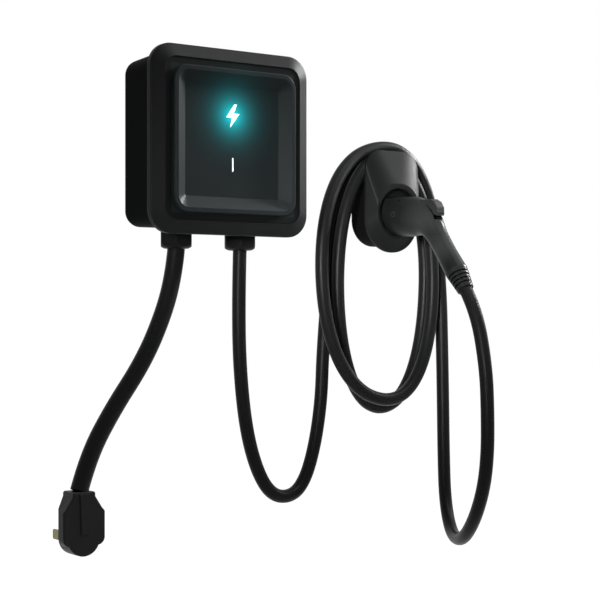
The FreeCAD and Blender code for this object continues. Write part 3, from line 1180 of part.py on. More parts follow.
def nose_ears(name, grow):
    """Two side lugs that hold the nose between the shells, or the room that the shells leave for them."""
    disc = along_nose(name + "_disc", f"nose_tube / 2 + ear_reach + {grow}", f"ear_thick + 2 * {grow}",
                      f"face_depth + handle_wall + split_gap - {grow}")
    band = box(name + "_band", "2 * nose_tube", "3 * ear_thick", f"ear_high - ear_low + 2 * {grow}",
               "holster_x", "face_depth + handle_wall - ear_thick",
               "-holster_down + (ear_high + ear_low) / 2")
    return common(name, disc, band)


def along_grip(name, radius, length, start):
    """A round bar on the boot's axis, from a distance past the end of the grip."""
    tilt = math.radians(value("grip_tilt"))
    return rod(name, radius, length, "holster_x", f"-grip_out - ({start}) * cos(grip_tilt)",
               f"grip_up - holster_down - ({start}) * sin(grip_tilt)", (0, -math.cos(tilt), -math.sin(tilt)))


def make_nose():
    tip = "(face_depth - nose_long)"
    outside = along_nose("nose_outside", "nose_tube / 2", "nose_long + nose_inside", tip)
    inside = along_nose("nose_inside_bore", "nose_tube / 2 - nose_wall", "nose_long + nose_inside + 2",
                        f"{tip} - 1")
    ears = nose_ears("nose_ears", "0")
    keep("connector_nose", cut("nose_cut", fuse("nose_fuse", outside, ears), inside))

    start = f"({tip} + carrier_short)"
    length = "(nose_long - carrier_short + carrier_back)"
    core = along_nose("carrier_core", "nose_tube / 2 - nose_wall - carrier_gap", length, start)
    holes = [along_nose(f"carrier_hole_{k}", f"{kind}_contact / 2", f"{length} + 2", f"{start} - 1", f"({x})",
                        f"({up})") for k, (x, up, kind) in enumerate(CONTACTS)]
    keep("contact_carrier", cut("carrier_cut", core, *holes))
    sleeves = []
    for k, (x, up, kind) in enumerate(CONTACTS):
        sleeve = along_nose(f"contact_{k}", f"{kind}_contact / 2", length, f"{start} + contact_in", f"({x})",
                            f"({up})")
        hole = along_nose(f"contact_hole_{k}", f"{kind}_hole / 2", f"{length} * 0.8", start, f"({x})",
                          f"({up})")
        sleeves.append(cut(f"contact_cut_{k}", sleeve, hole))
    keep("connector_contacts", group("contact_group", *sleeves))


def oval_section(name, number, shrink, out_shift="0", up_shift="0"):
    """One oval of the shell, tilted so that it stands square to the shell's middle line."""
    item = document.addObject("Part::Ellipse", name)
    bind(item, "MajorRadius", f"section_{number}_tall - {shrink}")
    bind(item, "MinorRadius", f"section_{number}_wide - {shrink}")
    place(item, "holster_x", f"-section_{number}_out - ({out_shift})",
          f"section_{number}_up - holster_down + ({up_shift})")
    tilt = math.radians(SECTIONS[number][4])
    along = FreeCAD.Vector(0, -math.cos(tilt), -math.sin(tilt))
    upward = FreeCAD.Vector(0, -math.sin(tilt), math.cos(tilt))
    item.Placement.Rotation = FreeCAD.Rotation(upward, along.cross(upward), along, "XZY")
    return item


def shell_loft(name, shrink, front="0", past="0"):
    last = len(SECTIONS) - 1
    sections = []
    for number in range(len(SECTIONS)):
        out_shift, up_shift = "0", "0"
        if number == 0:
            out_shift = front
        if number == last:
            out_shift = f"{past} * cos(grip_tilt)"
            up_shift = f"-{past} * sin(grip_tilt)"
        sections.append(oval_section(f"{name}_{number}", number, shrink, out_shift, up_shift))
    item = document.addObject("Part::Loft", name)
    item.Sections = sections
    item.Solid = True
    item.Ruled = False
    item.MaxDegree = 3
    return item


def side_bar(name, corners, half):
    """A bar along X whose outline is given as distances out from the wall and up from the socket."""
    body = document.addObject("PartDesign::Body", "Body_" + name)
    place(body, *HOLSTER_ORIGIN)
    sketch = sketch_on(body, "YZ_Plane", name + "_outline", f"-({half})")
    polygon(sketch, [(f"-({out})", up) for out, up in corners])
    pad(body, sketch, f"2 * ({half})")
    return body


def cross_bar(name, radius, out, up, start, length):
    """A round bar along X."""
    return rod(name, radius, length, f"holster_x + {start}", f"-({out})", f"-holster_down + ({up})",
               (1, 0, 0))


SHELL_SCREWS = [("head_screw_out", "head_screw_up"), ("spring_out", "spring_foot - seat_size / 2"),
                ("grip_screw_out", "grip_screw_up")]

LEVER_TOP = f"({BARREL_TOP} + lever_rise)"
HOOK_ROOF = f"({BARREL_TOP} + ridge_rise + fit_gap)"
HOOK_FOOT = f"({BARREL_TOP} + fit_gap)"
# Outlines of the latch and of the room for its button, seen from the side: each corner's distance out from
# the wall and its height over the socket's middle
LEVER = [("lever_front", f"{LEVER_TOP} - 1.6"), ("lever_front + 2.2", LEVER_TOP), ("50", LEVER_TOP),
         ("58", "18"), ("84", "15.8"), ("116", "8"), ("130", "4.5"), ("130", "1"), ("112", "4.5"),
         ("84", "9"), ("60", "12.8"), ("54", HOOK_ROOF), ("ridge_near - 0.4", HOOK_ROOF),
         ("ridge_near - 0.7", HOOK_FOOT), ("lever_front + 1.5", HOOK_FOOT)]
BUTTON = [("116", "8"), ("115.5", "12.6"), ("120", "14.4"), ("134.5", "14"), ("143", "9.6"), ("148.2", "2"),
          ("148.6", "-5"), ("146.8", "-9.5"), ("142.5", "-8.5"), ("137", "-1.5"), ("130", "4.5")]
BUTTON_ROOM = [("113.8", "26"), ("151", "26"), ("151", "-12"), ("147", "-15.5"), ("141", "-14"),
               ("128", "-5"), ("113.8", "4")]


def make_shells():
    outer = shell_loft("shell_outside", "0")
    inner = shell_loft("shell_inside", "handle_wall", "handle_wall", "2")
    wide = "(2 * head_half)"
    bars = [cross_bar(f"shell_boss_{k}", "seat_size / 2", out, up, f"-{wide} / 2", wide)
            for k, (out, up) in enumerate(SHELL_SCREWS)]
    bars.append(box("switch_shelf", wide, "switch_long + 2", "shelf_thick", "holster_x",
                    "switch_out - switch_long / 2 - 1",
                    "-holster_down + switch_top - switch_tall - shelf_thick / 2"))
    seat = cross_bar("pivot_seat_bar", "pivot_seat / 2", "pivot_out", "pivot_up", f"-{wide} / 2", wide)
    lever_room = box("lever_room", "lever_wide + 2 * lever_gap", "2 * pivot_seat", "4 * pivot_seat",
                     "holster_x", "pivot_out - pivot_seat", "-holster_down + pivot_up")
    bars.append(cut("pivot_seats", seat, lever_room))
    inside = common("shell_ribs", fuse("shell_bars", *bars), outer)
    shell = fuse("shell_solid", cut("shell_hollow", outer, inner), inside)
    tools = [
        along_nose("nose_room", "nose_tube / 2 + carrier_gap", "nose_inside + 2", "face_depth - 1"),
        nose_ears("ear_room", "carrier_gap"),
        along_grip("spigot_room", "boot_spigot_size / 2 + carrier_gap", "tail_inside + 4",
                   "-tail_inside - 2"),
        box("lever_window", "lever_wide + 2 * lever_gap", "handle_wall + 2", SLOT_TOP, "holster_x",
            "face_depth - 1", f"-holster_down + {SLOT_TOP} / 2"),
        side_bar("button_room", BUTTON_ROOM, "button_wide / 2 + button_gap"),
        cross_bar("pin_hole", "pin_size / 2 + pin_gap", "pivot_out", "pivot_up", "-pivot_pin_half",
                  "2 * pivot_pin_half"),
    ]
    for k, (out, up) in enumerate(SHELL_SCREWS):
        tools.append(cross_bar(f"shell_screw_hole_{k}", "small_screw_hole / 2", out, up,
                               "-shell_screw_long - 1", wide))
        tools.append(cross_bar(f"shell_screw_bore_{k}", "counterbore / 2", out, up, "shell_screw_seat", wide))
    whole = cut("shell_cut", shell, *tools)
    for label, side in (("connector_shell_left", -1), ("connector_shell_right", 1)):
        half_space = box(label + "_room", "shield_half", "grip_out + 60", "4 * shield_half",
                         f"holster_x + {side} * (shield_half + split_gap) / 2", "0", "-2 * holster_down")
        keep(label, common(label + "_common", whole, half_space))
    screws = []
    for k, (out, up) in enumerate(SHELL_SCREWS):
        shank = cross_bar(f"shell_screw_{k}_shank", "small_screw / 2", out, up, "-shell_screw_long",
                          "shell_screw_long + shell_screw_seat")
        head = cross_bar(f"shell_screw_{k}_head", "small_head / 2", out, up, "shell_screw_seat",
                         "small_head_thick")
        screws.append(fuse(f"shell_screw_{k}", shank, head))
    keep("connector_screws", group("connector_screw_group", *screws))


def make_latch():
    lever = side_bar("lever", LEVER, "lever_wide / 2")
    hole = cross_bar("lever_hole", "pin_size / 2 + pin_gap", "pivot_out", "pivot_up", "-lever_wide",
                     "2 * lever_wide")
    keep("latch_lever", cut("latch_lever_cut", lever, hole))
    button = side_bar("button", BUTTON, "button_wide / 2")
    keep("thumb_button", soften("thumb_button_round", button, "button_gap * 1.4",
                                lambda edge: edge.BoundBox.XLength < 0.01 and edge.CenterOfMass.z > -value(
                                    "holster_down + 4")))
    keep("latch_pin", cross_bar("latch_pin", "pin_size / 2", "pivot_out", "pivot_up",
                                "-pivot_pin_half + pin_end_gap", "2 * (pivot_pin_half - pin_end_gap)"))
    plunger_shows = "(plunger_long - plunger_in)"
    body = box("switch_case", "switch_wide", "switch_long", f"switch_tall - {plunger_shows}", "holster_x",
               "switch_out - switch_long / 2",
               f"-holster_down + switch_top - (switch_tall + {plunger_shows}) / 2")
    plunger = rod("switch_plunger", "plunger_size / 2", "plunger_long", "holster_x", "-switch_out",
                  "-holster_down + switch_top - plunger_long")
    keep("latch_switch", fuse("latch_switch_fuse", body, plunger))
    turns = value("spring_turns")
    height = value("spring_top - spring_foot - spring_wire")
    radius = value("(spring_size - spring_wire) / 2")
    helix = Part.makeHelix(height / turns, height, radius)
    ring = Part.Wire([Part.Circle(FreeCAD.Vector(radius, 0, 0), FreeCAD.Vector(0, 1, 0),
                                  value("spring_wire") / 2).toShape()])
    spring = Part.Wire(helix.Edges).makePipeShell([ring], True, True)
    item = shape_part("latch_spring_shape", spring)
    place(item, "holster_x", "-spring_out", "-holster_down + spring_foot + spring_wire / 2")
    keep("latch_spring", item)


def make_boot():
    body = document.addObject("PartDesign::Body", "Body_connector_boot")
    place(body, "holster_x", "-grip_out", "grip_up - holster_down")
    body.Placement.Rotation = FreeCAD.Rotation(FreeCAD.Vector(1, 0, 0), 90 + value("grip_tilt"))
    sketch = sketch_on(body, "YZ_Plane", "boot_profile")
    slope = "(boot_start - boot_end) / boot_long"
    corners = [("charge_size / 2", "-boot_spigot"), ("boot_spigot_size / 2", "-boot_spigot"),
               ("boot_spigot_size / 2", "0"), ("boot_start", "0")]
    for k in range(4):
        low = f"groove_first + {k} * groove_pitch"
        high = f"groove_first + {k} * groove_pitch + groove_wide"
        corners += [(f"boot_start - ({low}) * {slope}", low),
                    (f"boot_start - ({low}) * {slope} - groove_deep", low),
                    (f"boot_start - ({high}) * {slope} - groove_deep", high),
                    (f"boot_start - ({high}) * {slope}", high)]
    corners += [("boot_end", "boot_long"), ("charge_size / 2", "boot_long")]
    polygon(sketch, corners)
    turned = body.newObject("PartDesign::Revolution", "boot_turned")
    turned.Profile = sketch
    turned.ReferenceAxis = (sketch, ["V_Axis"])
    turned.Angle = 360
    keep("connector_boot", body)


make_wall_bracket()
make_rear_housing()
make_gasket()
make_front_bezel()
make_front_panel()
make_lens("lamp_lens", lamp_outline)
make_lens("status_lens", bar_outline)
make_electronics()
make_wires()
make_gland("power_gland", -1, "power_size")
make_gland("charge_gland", 1, "charge_size")
make_plug()
make_cords()
make_coil()
make_holster_base()
make_holster_shield()
make_holster_socket()
make_nose()
make_shells()
make_latch()
make_boot()

document.recompute()
faults = [f"{item.Label}: {item.State}" for item in document.Objects
          if "Invalid" in item.State or "Error" in item.State]
for label, item in parts.items():
    shape = item.Shape
    if shape.isNull() or not shape.isValid():
        faults.append(f"{label}: shape is null or not valid")
    else:
        b = shape.BoundBox
        print(f"{label:22s} solids {len(shape.Solids)} volume {shape.Volume:10.0f} "
              f"x {b.XMin:.1f} {b.XMax:.1f} y {b.YMin:.1f} {b.YMax:.1f} z {b.ZMin:.1f} {b.ZMax:.1f}")
if faults:
    raise SystemExit("\n".join(faults))
os.makedirs("parts", exist_ok=True)
for label, item in parts.items():
    item.Shape.exportStep(f"parts/{label}.step")
print(f"{len(parts)} pieces written")
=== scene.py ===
import math

import bpy
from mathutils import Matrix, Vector


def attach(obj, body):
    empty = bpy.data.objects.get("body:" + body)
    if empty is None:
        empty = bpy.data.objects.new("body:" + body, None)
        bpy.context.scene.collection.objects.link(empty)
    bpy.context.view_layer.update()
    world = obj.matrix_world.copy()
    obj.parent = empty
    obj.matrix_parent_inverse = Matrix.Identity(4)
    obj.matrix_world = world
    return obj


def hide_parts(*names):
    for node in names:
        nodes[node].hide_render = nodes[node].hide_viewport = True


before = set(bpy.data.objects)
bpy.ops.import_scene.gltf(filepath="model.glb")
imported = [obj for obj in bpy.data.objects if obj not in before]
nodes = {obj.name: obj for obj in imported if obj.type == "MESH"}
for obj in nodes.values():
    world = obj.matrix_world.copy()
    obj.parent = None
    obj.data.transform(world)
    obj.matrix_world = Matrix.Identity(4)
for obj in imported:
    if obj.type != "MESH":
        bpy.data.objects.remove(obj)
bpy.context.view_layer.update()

# Visual model of a wall-mounted car charger, in metres. The wall is y = 0, the front faces -Y and +Z is up.
CHARGER = "charger"

# The photograph's camera, which looks level at the front from its left: the square picture's width, the
# focal length and eye height's row in pixels, the sensor in millimetres and the turn in degrees
IMAGE_PIXELS = 600
FOCAL_PIXELS = 1530
HORIZON_ROW = 314
SENSOR_WIDTH = 36
CAMERA_PLACE = (-1.076, -1.757, -0.2216)
CAMERA_TURN = -35.5


def add_camera():
    """The photograph's own camera."""
    data = bpy.data.cameras.new("camera")
    data.sensor_width = SENSOR_WIDTH
    data.lens = SENSOR_WIDTH * FOCAL_PIXELS / IMAGE_PIXELS
    data.shift_y = (HORIZON_ROW - IMAGE_PIXELS / 2) / IMAGE_PIXELS
    camera = bpy.data.objects.new("camera", data)
    bpy.context.scene.collection.objects.link(camera)
    camera.location = CAMERA_PLACE
    camera.rotation_euler = (math.radians(90), 0, math.radians(CAMERA_TURN))
    bpy.context.scene.camera = camera


# Shader building. A mix node's sockets for colours go by number, because others have the same names.
MIX_LOW = 6
MIX_HIGH = 7
MIX_RESULT = 2


def new_material(name):
    """A material with nothing but its shader and its output."""
    material = bpy.data.materials.new(name)
    material.use_nodes = True
    tree = material.node_tree
    tree.nodes.clear()
    output = tree.nodes.new("ShaderNodeOutputMaterial")
    shader = tree.nodes.new("ShaderNodeBsdfPrincipled")
    tree.links.new(shader.outputs[0], output.inputs[0])
    return material, tree, shader


def tree_and_shader(material):
    """A material's node tree, and the shader in it."""
    tree = material.node_tree
    return tree, next(node for node in tree.nodes if node.type == "BSDF_PRINCIPLED")


def add(tree, kind, **settings):
    """A node whose settings and inputs are given by name."""
    node = tree.nodes.new(kind)
    for name, setting in settings.items():
        if name in node.inputs:
            node.inputs[name].default_value = setting
        else:
            setattr(node, name, setting)
    return node


def object_place(tree):
    """Where a point of the surface is, in metres."""
    return add(tree, "ShaderNodeTexCoord").outputs["Object"]


def along_axis(tree, place, axis):
    """A place's X, Y or Z."""
    parts = add(tree, "ShaderNodeSeparateXYZ")
    tree.links.new(place, parts.inputs[0])
    return parts.outputs[axis]


def distance_from(tree, place, point):
    """How far a place is from a fixed point."""
    node = add(tree, "ShaderNodeVectorMath", operation="DISTANCE")
    node.inputs[1].default_value = point
    tree.links.new(place, node.inputs[0])
    return node.outputs["Value"]


def math_node(tree, operation, first, second=None):
    """The result of an operation on an output, alone or with a fixed number or a second output."""
    node = add(tree, "ShaderNodeMath", operation=operation)
    tree.links.new(first, node.inputs[0])
    if isinstance(second, (int, float)):
        node.inputs[1].default_value = second
    elif second is not None:
        tree.links.new(second, node.inputs[1])
    return node.outputs[0]


def map_range(tree, value, start, end, low, high):
    """A number that goes from low to high while a value goes from start to end, and stays there outside."""
    node = add(tree, "ShaderNodeMapRange",
               **{"From Min": start, "From Max": end, "To Min": low, "To Max": high})
    tree.links.new(value, node.inputs["Value"])
    return node.outputs[0]


def mix_numbers(tree, factor, low, high):
    """A number that goes from low to high with a factor."""
    return map_range(tree, factor, 0, 1, low, high)


def fade_out(tree, value, near, far):
    """1 up to the near value and 0 beyond the far one."""
    return map_range(tree, value, near, far, 1, 0)


def mix_colours(tree, factor, low, high):
    """A colour that goes from low to high with a factor. The low one may be another node's output."""
    node = add(tree, "ShaderNodeMix", data_type="RGBA")
    tree.links.new(factor, node.inputs["Factor"])
    if isinstance(low, tuple):
        node.inputs[MIX_LOW].default_value = (*low, 1)
    else:
        tree.links.new(low, node.inputs[MIX_LOW])
    node.inputs[MIX_HIGH].default_value = (*high, 1)
    return node.outputs[MIX_RESULT]


def overlay(tree, shader, factor, colour):
    """Lays a plain colour over a shader's own where the factor is 1."""
    own = shader.inputs["Base Color"].links[0].from_socket
    tree.links.new(mix_colours(tree, factor, own, colour), shader.inputs["Base Color"])


def noise(tree, place, **settings):
    """An uneven pattern of numbers between 0 and 1."""
    node = add(tree, "ShaderNodeTexNoise", **settings)
    tree.links.new(place, node.inputs["Vector"])
    return node.outputs[0]


# Patterns: faint clouds and fine grain in plastic and rubber, how much of the grain's relief shows, drawing
# lines in metal, and the unevenness of a lit diffuser
CLOUDS = {"Scale": 18.0, "Detail": 4.0, "Roughness": 0.6}
GRAIN = {"Detail": 2.0, "Roughness": 0.5}
RELIEF = 0.35
DRAWN_LINES = {"Scale": 4.0, "Detail": 3.0}
DIFFUSER = {"Scale": 90.0, "Detail": 2.0}
DIFFUSER_DIMMEST = 0.92
DIFFUSER_ROUGHNESS = 0.4


def moulded(name, dark, light, smooth, rough, grain, depth, gloss):
    """Moulded plastic or rubber: fine texture, faint cloudiness and slightly worn gloss."""
    material, tree, shader = new_material(name)
    place = object_place(tree)
    cloud = noise(tree, place, **CLOUDS)
    tree.links.new(mix_colours(tree, cloud, dark, light), shader.inputs["Base Color"])
    tree.links.new(mix_numbers(tree, cloud, smooth, rough), shader.inputs["Roughness"])
    bump = add(tree, "ShaderNodeBump", Strength=RELIEF, Distance=depth)
    tree.links.new(noise(tree, place, Scale=grain, **GRAIN), bump.inputs["Height"])
    tree.links.new(bump.outputs[0], shader.inputs["Normal"])
    shader.inputs["Specular IOR Level"].default_value = gloss
    return material


def metal(name, dark, light, smooth, rough, fineness):
    """Plated or bare metal with faint drawing lines, which lie across the axis of the most fineness."""
    material, tree, shader = new_material(name)
    stretch = add(tree, "ShaderNodeMapping", Scale=fineness)
    tree.links.new(object_place(tree), stretch.inputs["Vector"])
    lines = noise(tree, stretch.outputs[0], **DRAWN_LINES)
    tree.links.new(mix_colours(tree, lines, dark, light), shader.inputs["Base Color"])
    tree.links.new(mix_numbers(tree, lines, smooth, rough), shader.inputs["Roughness"])
    shader.inputs["Metallic"].default_value = 1
    return material


def lit(name, colour, strength):
    """A lit diffuser, a little uneven like moulded acrylic."""
    material, tree, shader = new_material(name)
    dimmest = tuple(DIFFUSER_DIMMEST * channel for channel in colour)
    glow = mix_colours(tree, noise(tree, object_place(tree), **DIFFUSER), dimmest, colour)
    tree.links.new(glow, shader.inputs["Emission Color"])
    shader.inputs["Base Color"].default_value = (*colour, 1)
    shader.inputs["Emission Strength"].default_value = strength
    shader.inputs["Roughness"].default_value = DIFFUSER_ROUGHNESS
    return material


# The light round the lamp: its middle, its colour there, and the distance over which it fades to a third.
# That distance is taken in the front's plane.
LAMP_PLACE = (0.0, 0.0, 0.034)
HALO_COLOUR = (0.0, 1.10, 1.22)
HALO_FADE = 0.0115
FRONT_PLANE = (1, 0, 1)

# The recessed border of the dished panel, darkened as painted shade: how far from the middle it begins, how
# far it takes to set in, and the painted shade's colour
BORDER_FROM = 0.0930
BORDER_EDGE = 0.0015
BORDER_SHADE_COLOUR = (0.0030, 0.0033, 0.0034)


def glowing_panel(name):
    """The dished panel: dark and satin, with a cyan halo that fades out round the lamp, and painted shade
    on its border.
    """
    material = moulded(name, dark=(0.0082, 0.0108, 0.0113), light=(0.0098, 0.0128, 0.0134),
                       smooth=0.36, rough=0.48, grain=2600, depth=0.00002, gloss=0.05)
    tree, shader = tree_and_shader(material)
    place = object_place(tree)

    flat = add(tree, "ShaderNodeVectorMath", operation="MULTIPLY")
    flat.inputs[1].default_value = FRONT_PLANE
    tree.links.new(place, flat.inputs[0])
    away = distance_from(tree, flat.outputs[0], LAMP_PLACE)
    share = math_node(tree, "EXPONENT", math_node(tree, "MULTIPLY", away, -1 / HALO_FADE))
    tree.links.new(mix_colours(tree, share, (0, 0, 0), HALO_COLOUR), shader.inputs["Emission Color"])
    shader.inputs["Emission Strength"].default_value = 1.0

    across, up = (math_node(tree, "ABSOLUTE", along_axis(tree, place, axis)) for axis in "XZ")
    outward = math_node(tree, "MAXIMUM", across, up)
    # The border is darkened by painted shade.
    border = map_range(tree, outward, BORDER_FROM, BORDER_FROM + BORDER_EDGE, 0, 1)
    overlay(tree, shader, border, BORDER_SHADE_COLOUR)
    return material


# Marks on the connector: a screw's hole, dark as painted shade, a round recess's pale edge, which is a
# painted highlight, a thin level seam, which crosses the grip where y is under SEAM_BEGINS, and pale
# patches at the bend and on the grip, which are painted highlights, each with its reach
SCREW_PLACE = (0.2906, -0.0817, -0.0615)
SCREW_RADIUS = 0.0016
RECESS_PLACE = (0.2831, -0.0772, -0.0812)
RECESS_RADIUS = 0.0034
SEAM_HEIGHT = -0.1115
SEAM_BEGINS = -0.140
MARK_EDGE = 0.0006
SEAM_DARK_AND_HOLE_SHADE = (0.0010, 0.0011, 0.0011)
RECESS_EDGE_HIGHLIGHT = (0.040, 0.042, 0.042)
PAINTED_HIGHLIGHT_PLACES = [((0.2925, -0.126, -0.095), 0.040), ((0.293, -0.158, -0.133), 0.030)]
PAINTED_HIGHLIGHT_COLOUR = (0.026, 0.0275, 0.0275)
HANDLE_GLOSS = 0.075


def handle_plastic(name):
    """The connector's satin plastic, with its seam, painted highlights on its bend, grip and recess's edge,
    and painted shade in its screw's hole.
    """
    material = moulded(name, dark=(0.0062, 0.0065, 0.0066), light=(0.0084, 0.0088, 0.0089),
                       smooth=0.30, rough=0.38, grain=1400, depth=0.00005, gloss=HANDLE_GLOSS)
    tree, shader = tree_and_shader(material)
    place = object_place(tree)
    # Pale patches at the bend and on the grip: painted highlights.
    for middle, reach in PAINTED_HIGHLIGHT_PLACES:
        overlay(tree, shader, fade_out(tree, distance_from(tree, place, middle), 0, reach), PAINTED_HIGHLIGHT_COLOUR)

    # The recess's pale edge: a painted highlight.
    from_ring = math_node(tree, "SUBTRACT", distance_from(tree, place, RECESS_PLACE), RECESS_RADIUS)
    ring = fade_out(tree, math_node(tree, "ABSOLUTE", from_ring), 0, MARK_EDGE)
    overlay(tree, shader, ring, RECESS_EDGE_HIGHLIGHT)

    above_seam = math_node(tree, "SUBTRACT", along_axis(tree, place, "Z"), SEAM_HEIGHT)
    seam = fade_out(tree, math_node(tree, "ABSOLUTE", above_seam), 0, MARK_EDGE)
    on_grip = math_node(tree, "LESS_THAN", along_axis(tree, place, "Y"), SEAM_BEGINS)
    overlay(tree, shader, math_node(tree, "MULTIPLY", seam, on_grip), SEAM_DARK_AND_HOLE_SHADE)

    # The screw's hole: painted shade, dark and without reflection.
    screw = fade_out(tree, distance_from(tree, place, SCREW_PLACE), SCREW_RADIUS - MARK_EDGE, SCREW_RADIUS)
    overlay(tree, shader, screw, SEAM_DARK_AND_HOLE_SHADE)
    tree.links.new(mix_numbers(tree, screw, HANDLE_GLOSS, 0), shader.inputs["Specular IOR Level"])
    return material


# The boot's grooves, darkened as painted shade: how near a thing must be to shade a point, how open a
# groove's floor and its edge then are, and the painted shade's colour on the floor
GROOVE_REACH = 0.004
GROOVE_FLOOR = 0.45
GROOVE_EDGE = 0.85
GROOVE_SHADE_COLOUR = (0.0006, 0.0006, 0.0006)
BOOT_GLOSS = 0.08


def grooved_rubber(name):
    """The boot's rubber, with painted shade that makes its grooves black."""
    material = moulded(name, dark=(0.0080, 0.0083, 0.0083), light=(0.0105, 0.0109, 0.0109),
                       smooth=0.32, rough=0.40, grain=900, depth=0.00004, gloss=BOOT_GLOSS)
    tree, shader = tree_and_shader(material)
    shade = add(tree, "ShaderNodeAmbientOcclusion", Distance=GROOVE_REACH, only_local=True)
    groove_shade = fade_out(tree, shade.outputs["AO"], GROOVE_FLOOR, GROOVE_EDGE)
    # Painted shade in the grooves: dark and without reflection.
    overlay(tree, shader, groove_shade, GROOVE_SHADE_COLOUR)
    tree.links.new(mix_numbers(tree, groove_shade, BOOT_GLOSS, 0), shader.inputs["Specular IOR Level"])
    return material


def box_materials():
    """The box's outside and its two lights."""
    return {
        "housing": moulded("housing_plastic", dark=(0.0016, 0.0018, 0.0019), light=(0.0022, 0.0025, 0.0026),
                           smooth=0.46, rough=0.56, grain=1500, depth=0.00004, gloss=0.006),
        "bezel": moulded("bezel_plastic", dark=(0.0085, 0.0089, 0.0091), light=(0.0105, 0.0109, 0.0111),
                         smooth=0.38, rough=0.46, grain=1500, depth=0.00004, gloss=0.045),
        "panel": glowing_panel("panel_plastic"),
        "lamp": lit("lamp_white", colour=(0.85, 1.0, 1.0), strength=1.0),
        "status": lit("status_white", colour=(0.85, 0.93, 0.93), strength=0.9),
    }


def inner_materials():
    """What is inside the box and the connector, and the metals."""
    return {
        "board": moulded("circuit_board", dark=(0.01, 0.08, 0.03), light=(0.015, 0.11, 0.045),
                         smooth=0.35, rough=0.5, grain=900, depth=0.00005, gloss=0.4),
        "component": moulded("component_black", dark=(0.012, 0.012, 0.013), light=(0.02, 0.02, 0.021),
                             smooth=0.45, rough=0.6, grain=900, depth=0.00005, gloss=0.2),
        "component_blue": moulded("component_blue", dark=(0.01, 0.03, 0.15), light=(0.015, 0.045, 0.2),
                                  smooth=0.3, rough=0.45, grain=900, depth=0.00003, gloss=0.2),
        "steel": metal("zinc_steel", dark=(0.5, 0.5, 0.52), light=(0.62, 0.62, 0.64),
                       smooth=0.28, rough=0.4, fineness=(60, 60, 900)),
        # Brass darkened so that the plug's blades look shadowed: painted shade.
        "brass": metal("plug_brass_darkened_as_shade", dark=(0.13, 0.12, 0.05), light=(0.19, 0.17, 0.08),
                       smooth=0.24, rough=0.36, fineness=(40, 300, 40)),
        "silver": metal("contact_silver", dark=(0.7, 0.7, 0.68), light=(0.82, 0.82, 0.8),
                        smooth=0.18, rough=0.3, fineness=(60, 60, 900)),
    }


def cable_materials():
    """The cords, their glands and seals, and the plug."""
    return {
        "seal": moulded("seal_rubber", dark=(0.0030, 0.0032, 0.0032), light=(0.0042, 0.0044, 0.0044),
                        smooth=0.58, rough=0.70, grain=700, depth=0.00008, gloss=0.03),
        "cord": moulded("cord_rubber", dark=(0.0055, 0.0058, 0.0057), light=(0.0078, 0.0081, 0.0080),
                        smooth=0.34, rough=0.40, grain=1100, depth=0.000015, gloss=0.06),
        "gland": moulded("gland_nylon", dark=(0.0050, 0.0054, 0.0053), light=(0.0065, 0.0069, 0.0068),
                         smooth=0.40, rough=0.50, grain=1300, depth=0.00004, gloss=0.06),
        "plug": moulded("plug_vinyl", dark=(0.0110, 0.0110, 0.0111), light=(0.0140, 0.0140, 0.0141),
                        smooth=0.38, rough=0.48, grain=900, depth=0.00006, gloss=0.09),
    }


def connector_materials():
    """The holster and the connector that it holds."""
    return {
        "holster": moulded("holster_plastic", dark=(0.0055, 0.0058, 0.0058), light=(0.0072, 0.0075, 0.0075),
                           smooth=0.36, rough=0.44, grain=1300, depth=0.00005, gloss=0.05),
        # The holster's base: the holster's plastic made darker, as painted shade.
        "holster_shaded": moulded("holster_shaded_plastic", dark=(0.0020, 0.0021, 0.0021),
                                light=(0.0028, 0.0029, 0.0029), smooth=0.50, rough=0.60, grain=1300,
                                depth=0.00005, gloss=0.01),
        "handle": handle_plastic("handle_plastic"),
        "boot": grooved_rubber("boot_rubber"),
        "button": moulded("button_plastic", dark=(0.008, 0.0083, 0.0085), light=(0.036, 0.037, 0.038),
                          smooth=0.45, rough=0.60, grain=700, depth=0.00030, gloss=0.08),
    }


# The CAD pieces that have each look. The cords have none here, because curves replace them.
NODE_LOOKS = {
    "housing": ["rear_housing"],
    "bezel": ["front_bezel"],
    "panel": ["front_panel"],
    "lamp": ["lamp_lens"],
    "status": ["status_lens"],
    "board": ["main_board", "control_board", "led_board"],
    "component": ["relay_1", "relay_2", "input_terminals", "output_terminals", "supply_transformer",
                  "contact_carrier", "latch_switch"],
    "component_blue": ["current_sensor", "supply_capacitors"],
    "steel": ["wall_bracket", "board_screws", "cover_screws", "holster_screws", "connector_screws",
              "latch_pin", "latch_spring"],
    "brass": ["ground_bar", "plug_hot_blades", "plug_neutral_blade", "plug_ground_pin"],
    "silver": ["connector_contacts"],
    "seal": ["housing_gasket", "power_gland_seal", "charge_gland_seal"],
    "boot": ["connector_boot"],
    "cord": ["power_cord_tail", "charge_cord_tail", "connector_cord_tail"],
    "gland": ["power_gland_body", "power_gland_nut", "power_gland_locknut",
              "charge_gland_body", "charge_gland_nut", "charge_gland_locknut"],
    "holster": ["holster_shield", "holster_socket"],
    # The base has the holster's plastic darkened as painted shade.
    "holster_shaded": ["holster_base"],
    "handle": ["connector_nose", "connector_shell_left", "connector_shell_right", "latch_lever"],
    "button": ["thumb_button"],
    "plug": ["plug_body", "plug_face"],
}


def dress_nodes(materials):
    """Gives every CAD piece its material."""
    for look, names in NODE_LOOKS.items():
        for name in names:
            piece = nodes[name]
            piece.data.materials.clear()
            piece.data.materials.append(materials[look])


